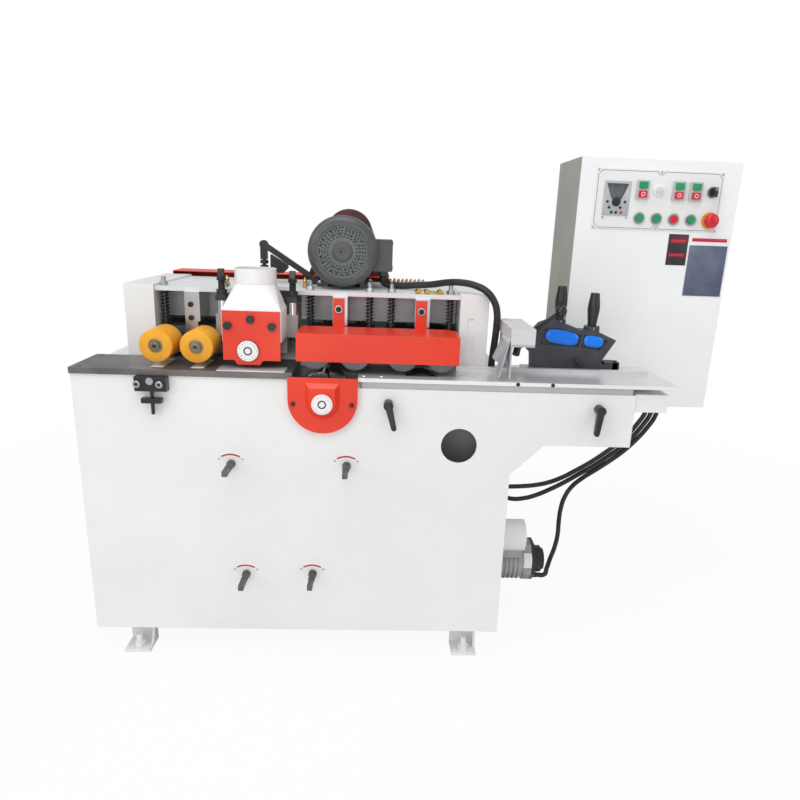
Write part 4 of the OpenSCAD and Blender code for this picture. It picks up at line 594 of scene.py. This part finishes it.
# Top plate. Grey painted steel plate with ground guide bars screwed under it and black
# clamp blocks for the chrome posts; three brass oil fittings stand on its top.
SPINDLE = ((0.045, 0.045, 0.048), (0.085, 0.085, 0.09), 0.38, 0.7, 12.0, 0.06)
dress(coat("top_plate_coat", PAINT_PLATE, [((0, 0, 0), (FAR, FAR, plate_under - 0.1), MACHINED)]),
      "top_plate")
dress(coat("post_finish", CHROMED, [((0, 0, 879.9), (FAR, FAR, FAR), PAINT_BLACK)]), "guide_posts")
dress(coat("screw_steel", SPINDLE), "head_screw_left", "head_screw_right")
dress(coat("cutter_steel", MACHINED), "upper_cutter", "lower_cutter", "motor_rotor")
brass = coat("brass", BRASS, radius=0.0005)
mesh = bmesh.new()
for x, y in ((355, 292), (300, 228), (492, 236)):
    hexagon(mesh, (x, y, plate_top), 13, 8, UP)
    turned(mesh, [(4.4, 8), (4.4, 12), (5.6, 13), (5.6, 17), (3.4, 19), (2.4, 22), (3.0, 23.4), (2.2, 25),
                  (0, 25.4)], (x, y, plate_top), UP, steps=24)
piece("oil_fittings", mesh, brass)
mesh = bmesh.new()
for z in (863, 831):
    socket_screw(mesh, (229, 153, z), 6.6, 4)
piece("guide_bar_screws", mesh, black_oxide)

# Press springs. Black wound wire between the top plate and each sprung unit. On the real
# machine the turns close up as the unit lifts; here the coils are fixed to the frame.
wire_black = coat("spring_wire", PAINT_BLACK)
for springs, lift in (
        ("outfeed_springs", "outfeed_press_lift"), ("feed_springs_left", "feed_press_left_lift"),
        ("feed_springs_right", "feed_press_right_lift")):
    dress(wire_black, springs)
    mesh = bmesh.new()
    mesh.from_mesh(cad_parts[springs].data)
    bmesh.ops.remove_doubles(mesh, verts=mesh.verts, dist=1e-5)
    coils = piece(springs + "_wire", mesh, wire_black, "frame", [springs])
    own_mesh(coils)

# Oil distributor. Two brass bars on the top plate with a row of union nuts and short pipe
# stubs, from which the oil runs to the bearings.
back_bar_top, front_bar_top, unions, union_pitch = 914, 909, 9, 11
mesh = bmesh.new()
slab(mesh, (701, 342, plate_top - 0.2), (801, 358, back_bar_top), 1)
slab(mesh, (766, 180, plate_top - 0.2), (838, 193, front_bar_top), 1)
for k in range(unions):
    x, high = 707 + union_pitch * k, back_bar_top + (0, 1, 0.5)[k % 3]
    hexagon(mesh, (x, 350, high - 1), 9.5, 6, UP)
    turned(mesh, [(3.4, 4), (3.4, 8), (2.2, 9), (2.2, 10 + k % 2), (0, 10.2 + k % 2)], (x, 350, high), UP,
           steps=20)
for x in (775, 796, 829):
    turned(mesh, [(0, 9), (3.4, 9), (4, 8.4), (4, 3.5), (6.4, 3.5), (6.4, -6), (3, -6), (3, -9), (0, -9)],
           (x, 180, front_bar_top), (0.35, -1, -0.1), steps=24)
    hexagon(mesh, (x, 186.5, front_bar_top - 0.5), 9, 5, UP)
piece("oil_distributor", mesh, brass)

# Bay sheets. Pale grey folded sheets hang from the top plate behind the springs and close
# the bays against the chips; each has a narrow flange along its lower edge.
sheet_y, sheet_foot = 243.2, 824
mesh = bmesh.new()
for x0, x1 in ((144.5, 314), (482, 876.5)):
    slab(mesh, (x0, sheet_y, sheet_foot), (x1, sheet_y + 2, plate_under - 0.1), 0.4)
    slab(mesh, (x0, sheet_y - 7.2, sheet_foot), (x1, sheet_y + 0.8, sheet_foot + 2), 0.4)
piece("bay_sheets", mesh, coat("bay_paint", PAINT_PLATE))

# Setting screws of the head. Black threaded spindles with a square end and two locking
# nuts; they turn in the black clamp blocks and carry the whole sprung head.
screw_y, thread_pitch, threads = 121, 3, 8
for name, x in (("head_screw_left", 312), ("head_screw_right", 477)):
    mesh = bmesh.new()
    thread = [(6.9, 6.2)]
    for k in range(threads):
        start = 7.2 + thread_pitch * k
        thread += [(8.1, start), (8.1, start + 0.8), (7.05, start + 2)]
    turned(mesh, thread, (x, screw_y, 900), UP, steps=32)
    piece(name + "_thread", mesh, black_oxide, name)
    mesh = bmesh.new()
    hexagon(mesh, (x, screw_y, 928.5), 19, 6, UP)
    washer(mesh, (x, screw_y, 926), 7.2, 11, 2, UP)
    piece(name + "_nut", mesh, black_oxide, name)

# Drive covers. A red folded cover closes the back of the head frame, and a red belt guard
# stands on it behind the motor, darkened to maroon above its foot as painted shade; black
# screws on washers hold its two ends.
guard_foot = 917.1
# above the guard's foot the red is darkened to maroon: painted shade
dress(coat("cover_coat", PAINT_RED, [((0, 0, guard_foot), (FAR, FAR, FAR), PAINTED_SHADE_RED)]), "drive_covers")
mesh = bmesh.new()
for x, side in ((90, -1), (704, 1)):
    for z in (682, 770, 858):
        washer(mesh, (x, 484, z), 3.6, 7, 1.2, (side, 0, 0))
        socket_screw(mesh, (x, 484, z), 5.2, 3.6, (side, 0, 0))
piece("drive_cover_screws", mesh, black_oxide)

# Top motor. A cast, finned three-phase machine on two feet, with a pressed fan cover
# full of holes in front and a screwed lid on the terminal box at its right side.
motor_x, fan_y, motor_z, fan_r, foot_half = 587, 200, 996, 62, 62
fan_face = (motor_x, fan_y, motor_z)
motor_coat = coat("motor_coat", PAINT_MOTOR, [
    ((motor_x - fan_r, fan_y - 1.5, motor_z - fan_r), (motor_x + fan_r, fan_y + 0.6, motor_z + fan_r),
     FAN_FACE)])
dress(motor_coat, "top_motor")
mesh = bmesh.new()
turned(mesh, [(fan_r, 0.2), (fan_r, -1.6), (fan_r + 1, -2.4), (fan_r + 3, -2.4), (fan_r + 4, -1.6),
              (fan_r + 4, 0.2)], fan_face, steps=72)
turned(mesh, [(5, 0.2), (5, -1.5), (9, -2.6), (20, -2.6), (24, -1.6), (25.5, 0.2)], fan_face, steps=48)
piece("fan_cover_rings", mesh, motor_coat)
# the holes are thin black hexagons laid on the face: painted shade of the dark inside
hole_across = 4.6
mesh = bmesh.new()
for ring_r, count in ((36, 26), (43, 31), (50, 36), (57, 41)):
    for k in range(count):
        a = math.tau * k / count
        spot = (motor_x + ring_r * math.cos(a), fan_y + 0.1, motor_z + ring_r * math.sin(a))
        hexagon(mesh, spot, hole_across, 0.25)
hexagon(mesh, (motor_x, fan_y + 0.1, motor_z), hole_across, 0.3)
piece("fan_cover_holes", mesh, black_oxide)
mesh = bmesh.new()
for x in (motor_x - foot_half, motor_x + foot_half):
    for y in (296, 388):
        hexagon(mesh, (x, y, 912), 13, 6, UP)
        washer(mesh, (x, y, 912), 4.5, 9, 1.5, UP)
for y in (276, 336):
    for z in (955, 1018):
        socket_screw(mesh, (709, y, z), 3.4, 3, (1, 0, 0))
piece("motor_bolts", mesh, bright)
mesh = bmesh.new()
slab(mesh, (706, 268, 949), (710.4, 344, 1024), 2)
piece("terminal_lid", mesh, motor_coat)

# Infeed side. The table and its rail are ground bright, with a strip along the front whose
# front face is coloured white and which two black screws hold; the stand on it is a charcoal casting.
# the front face of the strip is coloured white
dress(coat("infeed_steel", GROUND_STEEL, [((0, -FAR, 721.5), (FAR, -4.8, 729.6), PAINT_WHITE),
                                          ((0, 5, 0), (FAR, FAR, 720.9), PAINT_GREY)]), "infeed_table")
charcoal = coat("stand_casting", CAST_CHARCOAL)
dress(charcoal, "guide_stand")
mesh = bmesh.new()
for x in (1001, 1081):
    turned(mesh, [(0, 0.1), (1.6, 0.1), (1.6, 0.9), (3.6, 0.9), (4.6, 0.5), (4.6, -0.2)], (x, -5, 725.4),
           FRONT, steps=24)
piece("strip_screws", mesh, black_oxide, "infeed")

# Grips. Turned black handles, fullest in the middle, on steel pins in round collars; a
# bright index line is let into the front of each collar.
grip_y = 174
mesh, index = bmesh.new(), bmesh.new()
for name, x, top, collar_r, deep in (("grip_left", 1129, 852, 15.4, 12), ("grip_right", 1212, 838, 19.5, 14)):
    foot = (x, grip_y, top)
    turned(mesh, [(6.2, 0.4), (collar_r - 1, 0.4), (collar_r, -0.6), (collar_r, -deep), (6.2, -deep)],
           foot, UP, steps=48)
    collar_y = grip_y - collar_r
    slab(index, (x - 1.1, collar_y - 0.5, top - deep), (x + 1.1, collar_y + 0.6, top - 0.5), 0.2)
    handle = bmesh.new()
    turned(handle, [(0, 0.6), (9.6, 0.6), (10.6, 1.6), (10.9, 6), (13.2, 25), (14.9, 40), (14.9, 45),
                    (14.2, 55), (12.2, 70), (11.3, 78), (10.9, 80.8), (9.8, 82), (0, 82)], foot, UP, steps=48)
    turned(handle, [(0, -50), (5.6, -50), (6, -49), (6, 2), (0, 2)], foot, UP, steps=32)
    piece(name + "_handle", handle, black_oxide, name, [name])
piece("grip_collars", mesh, charcoal, "infeed")
piece("grip_index_lines", index, bright, "infeed")

# Small fittings of the stand: a black T handle in front, whose stud locks the slide
# inside, and a square black stop screwed to the table at the right end.
mesh = bmesh.new()
turned(mesh, [(0, 12), (4.4, 12), (5.2, 11), (5.2, 3), (7, 2.6), (7, -0.3)], (1179, 150, 750), FRONT,
       steps=32)
turned(mesh, [(0, -16), (3.4, -15.4), (4.2, -13.6), (3.5, -4), (3.5, 4), (4.2, 13.6), (3.4, 15.4), (0, 16)],
       (1178.5, 140, 750), (25, 0, -18), steps=24)
piece("stand_handle", mesh, black_oxide, "infeed")
mesh = bmesh.new()
slab(mesh, (1269, 156, 729.8), (1288, 176, 750.6), 1.2)
socket_screw(mesh, (1278.5, 166, 750.4), 4.6, 3.4, UP)
piece("end_stop", mesh, black_oxide, "infeed")

# Ball lever and blue windows. The lever is glossy black; the windows are two lenses of
# blue glass with soft edges, let into the front of the stand.
GLOSS_BLACK = ((0.010, 0.010, 0.011), (0.016, 0.016, 0.018), 0.12, 0.0, 8.0, 0.01)
dress(coat("gloss_black", GLOSS_BLACK), "ball_lever")
window_back, window_front, window_corners = 156.2, 151.6, 40
mesh = bmesh.new()
for (x, z), (half_w, half_h), tilt in (((1134, 811), (42, 17.5), -9), ((1214, 803), (25, 14.5), -7)):
    turn = math.radians(tilt)
    rounded = []
    for k in range(window_corners):
        c, s = math.cos(math.tau * k / window_corners), math.sin(math.tau * k / window_corners)
        across = math.copysign(abs(c) ** 0.62, c) * half_w
        upward = math.copysign(abs(s) ** 0.72, s) * half_h
        rounded.append((x + across * math.cos(turn) - upward * math.sin(turn),
                        z + across * math.sin(turn) + upward * math.cos(turn)))
    cut_out(mesh, rounded, window_back, window_front)
front = [f for f in mesh.faces if f.normal.y < -0.9 and f.calc_center_median().y < at(0, 152, 0).y]
for thick, deep in ((0.003, 0.0016), (0.0035, 0.0010), (0.0035, 0.0006)):
    bmesh.ops.inset_individual(mesh, faces=front, thickness=thick, depth=deep)
piece("blue_windows", mesh, coat("blue_glass", BLUE_GLASS, radius=0.002), "infeed")

# Deflector over the infeed side: a light grey channel on a post, with a leaning plate of
# galvanised sheet in front and a plain beige plate behind it.
CHANNEL = ((0.62, 0.62, 0.61), (0.68, 0.68, 0.67), 0.45, 0.0)
BEIGE = ((0.60, 0.575, 0.53), (0.66, 0.64, 0.60), 0.5, 0.0)
dress(coat("channel_zinc", ZINC, [((0, 0, 815), (FAR, FAR, FAR), CHANNEL),
                                  ((981.2, 7.5, 730), (986, 114, 848), BEIGE)]), "stock_deflector")

# Feed gearmotor. A worm gear case of cast aluminium with cooling ribs, an end shield, and
# a small motor with a pressed black fan cover; a white capacitor housing lies above it.
GEAR_CASE = ((0.33, 0.335, 0.33), (0.42, 0.425, 0.42), 0.42, 0.5, 12.0, 0.12)
END_SHIELD = ((0.30, 0.31, 0.28), (0.36, 0.37, 0.34), 0.42, 0.4)
shield_x, fan_x = 1094.9, 1117
dress(coat("gearmotor_coat", GEAR_CASE, [
    ((shield_x, 0, 0), (FAR, FAR, FAR), END_SHIELD),
    ((shield_x, 0, 166), (FAR, 200, 204), PAINT_WHITE),
    ((fan_x, 0, 0), (FAR, FAR, FAR), PAINT_BLACK),
    ((1000, 0, 226), (1085.2, 205, FAR), PAINT_WHITE)]), "feed_gearmotor")

# Control cabinet. Folded sheet sprayed pale grey, with a door behind; its left wall is
# coloured a darker olive grey, painted shade. The operator panel is a white plate with a
# fine engraved border and eight screws, and the gear on it is the usual 22 mm kind.
PANEL_INK = ((0.035, 0.034, 0.033), (0.06, 0.058, 0.056), 0.4, 0.0, 9.0, 0.005)
panel_y = 309
dress(coat("case_coat", PAINT_CASE, [
    # the cabinet's left wall is darkened to olive grey: painted shade
    ((1180, 300, 590), (1183.4, 530, FAR), PAINTED_SHADE_OLIVE),
    ((1220, -FAR, 1070), (1560, 310.9, 1226), PAINT_WHITE),
    ((1240, -FAR, 1100), (1322, panel_y - 0.1, 1200), PAINT_GREY),
    ((1326, -FAR, 1086), (1560, panel_y - 0.1, 1200), MACHINED),
    ((1326, -FAR, 1149), (1364, panel_y - 0.1, 1197), PAINT_GREY),
    ((1420, -FAR, 1149), (1504, panel_y - 0.1, 1197), PAINT_GREY),
    ((1370, -FAR, 1150), (1410, panel_y - 0.1, 1196), PAINT_CASE)]), "control_cabinet")
dress(coat("door_coat", PAINT_CASE), "cabinet_door")
ink = coat("panel_ink", PANEL_INK, radius=0.0002)
x0, x1, z0, z1, notch, dip = 1229, 1552, 1077, 1218, 11, 7
border = [(x0 + notch, z0), (1383, z0), (1387, z0 + dip), (1397, z0 + dip), (1401, z0), (x1 - notch, z0),
          (x1, z0 + notch), (x1, z1 - notch), (x1 - notch, z1), (1400, z1), (1396, z1 - dip),
          (1387, z1 - dip), (1383, z1), (x0 + notch, z1), (x0, z1 - notch), (x0, z0 + notch)]
mesh = bmesh.new()
cut_out(mesh, border, panel_y + 0.2, panel_y - 0.25)
rim = bmesh.ops.inset_region(mesh, faces=[f for f in mesh.faces if abs(f.normal.y) > 0.9], thickness=0.0011,
                             depth=0)
inner = [f for f in mesh.faces if abs(f.normal.y) > 0.9 and f not in rim["faces"]]
bmesh.ops.delete(mesh, geom=inner, context="FACES")
piece("panel_border", mesh, ink)
mesh = bmesh.new()
for x, z in ((1229.5, 1218), (1392, 1216.5), (1551, 1217), (1229, 1077), (1393, 1078), (1551, 1077),
             (1251, 1102), (1313, 1102)):
    turned(mesh, [(0, 0.9), (0.8, 0.9), (0.9, 1.5), (2.0, 1.4), (2.9, 0.9), (3.2, -0.1)], (x, panel_y, z),
           FRONT, steps=20)
piece("panel_screws", mesh, bright)

# Glands and door locks. Black nylon nuts clamp the three cables under the cabinet; three
# quarter-turn locks with a short rib to grip hold the door shut behind.
mesh = bmesh.new()
for x in (1454, 1470, 1486):
    hexagon(mesh, (x, 352, 588), 15, 6, UP)
piece("gland_nuts", mesh, black_oxide)
mesh = bmesh.new()
for z in (700, 925, 1150):
    turned(mesh, [(0, 2.6), (5, 2.6), (6, 1.8), (9.4, 1.4), (10, 0.6), (10, -0.4)], (1218, 526, z))
    slab(mesh, (1216.9, 528.2, z - 5), (1219.1, 529.6, z + 5), 0.3)
piece("door_locks", mesh, black_oxide, "cabinet_door")

# Buttons. Moulded caps: flush push buttons, double push buttons in green over red, a red
# mushroom emergency stop over an orange-red ring, and a black selector with a white line.
RING_ORANGE = ((0.76, 0.25, 0.02), (0.82, 0.31, 0.03), 0.35, 0.0, 8.0, 0.01)
LENS = ((0.62, 0.62, 0.60), (0.70, 0.70, 0.68), 0.18, 0.0, 8.0, 0.01)
button_z, twin_stop_z = 1103, 1162
green = coat("green_cap", GREEN_CAP)
red = coat("red_cap", RED_CAP)
dress(coat("twin_cap", GREEN_CAP, [((0, 0, 1000), (FAR, FAR, 1172.5), RED_CAP)]),
      "twin_caps_1", "twin_caps_2", "twin_caps_3")
dress(coat("selector_black", BLACK_CAP), "selector_knob")
for name, x, material, slot in (
        ("button_1", 1346, green, "green_plastic"), ("button_2", 1391.5, green, "green_plastic"),
        ("button_3", 1437, red, "red_plastic"), ("button_4", 1482.5, green, "green_plastic")):
    mesh = bmesh.new()
    turned(mesh, [(0, 301), (7.2, 300.9), (7.7, 300), (9, 300), (9.5, 300.6), (9.5, 316.5), (9, 317),
                  (0, 317)], (x, 0, button_z), steps=48)
    piece(name + "_cap", mesh, material, name, [name])
mesh = bmesh.new()
turned(mesh, [(0, 284), (6, 284.3), (11, 285.3), (15.4, 287.6), (17.6, 291), (18, 295), (17.2, 297),
              (15, 298.6), (11, 300), (6, 300), (6, 324), (5, 325), (0, 325)], (1533, 0, button_z), steps=64)
piece("emergency_stop_head", mesh, red, "emergency_stop", ["emergency_stop"])
mesh = bmesh.new()
turned(mesh, [(14.7, 308.9), (14.7, 305.6), (20.6, 305.6), (21.4, 306.4), (21.4, 308.9)], (1533, 0, button_z),
       steps=64)
piece("emergency_ring", mesh, coat("yellow_ring", RING_ORANGE))
mesh = bmesh.new()
slab(mesh, (1529.2, 286.8, 1176), (1530.8, 287.6, 1184), 0.2)
piece("selector_line", mesh, white_enamel, "selector_knob")
for k, x in ((1, 1346), (2, 1440.2), (3, 1484.8)):
    mesh = bmesh.new()
    turned(mesh, [(3.6, 297.2), (3.6, 296.8), (5.2, 296.8), (5.2, 297.2)], (x, 0, twin_stop_z), steps=32)
    piece(f"stop_ring_{k}", mesh, white_enamel, f"twin_caps_{k}")
mesh = bmesh.new()
turned(mesh, [(0, 298.4), (5, 298.8), (8.6, 299.8), (10.4, 301.4), (10.8, 305.2)], (1390, 0, 1173), steps=48)
piece("signal_lens", mesh, coat("lens", LENS))

# Keypad of the speed controller: a silver moulded face with a dark display, a round dial
# and seven small keys, one of them red.
SILVER = ((0.40, 0.42, 0.45), (0.50, 0.52, 0.55), 0.34, 0.3, 8.0, 0.02)
DISPLAY = ((0.055, 0.062, 0.070), (0.13, 0.14, 0.15), 0.12, 0.0, 30.0, 0.003)
key = [(0, 303.6), (2.6, 303.8), (3.6, 304.6), (3.6, 305.6)]
mesh = bmesh.new()
slab(mesh, (1248, 305.4, 1108), (1314, 307.4, 1192), 1.2)
piece("keypad_face", mesh, coat("keypad_silver", SILVER))
mesh = bmesh.new()
cut_out(mesh, [(1252, 1186), (1310, 1186), (1294, 1148), (1287, 1142), (1275, 1142), (1268, 1148)],
        305.6, 304.8, 2)
piece("keypad_display", mesh, coat("display_glass", DISPLAY))
mesh = bmesh.new()
turned(mesh, [(0, 299.5), (4, 299.6), (7.6, 300.2), (8.2, 301), (9, 304), (11.5, 304.6), (11.5, 305.6)],
       (1281, 0, 1141), steps=40)
for x, z in ((1258, 1141), (1304, 1141), (1264, 1127), (1293, 1127), (1271, 1115), (1283, 1115)):
    turned(mesh, key, (x, 0, z), steps=24)
piece("keypad_keys", mesh, black_oxide)
mesh = bmesh.new()
turned(mesh, key, (1296, 0, 1115), steps=24)
piece("keypad_stop_key", mesh, red)

# Instruction plates. Two thin printed plates on the cabinet front, drawn bare: only their
# coloured bars and fields, without any writing.
PLATE_BLACK = ((0.022, 0.020, 0.021), (0.035, 0.032, 0.033), 0.4, 0.0, 9.0, 0.01)
PLATE_MAROON = ((0.10, 0.008, 0.02), (0.13, 0.01, 0.03), 0.4, 0.0)
PLATE_WHITE = ((0.78, 0.78, 0.80), (0.83, 0.83, 0.85), 0.4, 0.0, 9.0, 0.01)
PLATE_NAVY = ((0.085, 0.105, 0.17), (0.13, 0.15, 0.22), 0.4, 0.0, 22.0, 0.01)
mesh = bmesh.new()
slab(mesh, (1433.5, 310.2, 987), (1487, 311.1, 1066.5), 0.4)
piece("small_plate", mesh, coat("plate_black", PLATE_BLACK, [
    ((1437, 0, 1042), (1484, FAR, 1062.5), PLATE_MAROON),
    ((1437, 0, 1006), (1484, FAR, 1020), PLATE_MAROON)]))
mesh = bmesh.new()
slab(mesh, (1441.5, 309.9, 1045), (1481, 310.4, 1053), 0.2)
slab(mesh, (1440.5, 309.9, 1010), (1479.5, 310.4, 1016.5), 0.2)
slab(mesh, (1496, 309.7, 1049.5), (1589.5, 310.3, 1058.5), 0.25)
piece("plate_bars", mesh, red_print)
mesh = bmesh.new()
slab(mesh, (1489, 310, 906.5), (1596, 311.1, 1066), 0.4)
piece("large_plate", mesh, coat("plate_white", PLATE_WHITE))
mesh = bmesh.new()
slab(mesh, (1491.5, 309.8, 908.5), (1594, 310.2, 1040), 0.15)
piece("navy_field", mesh, coat("plate_navy", PLATE_NAVY))
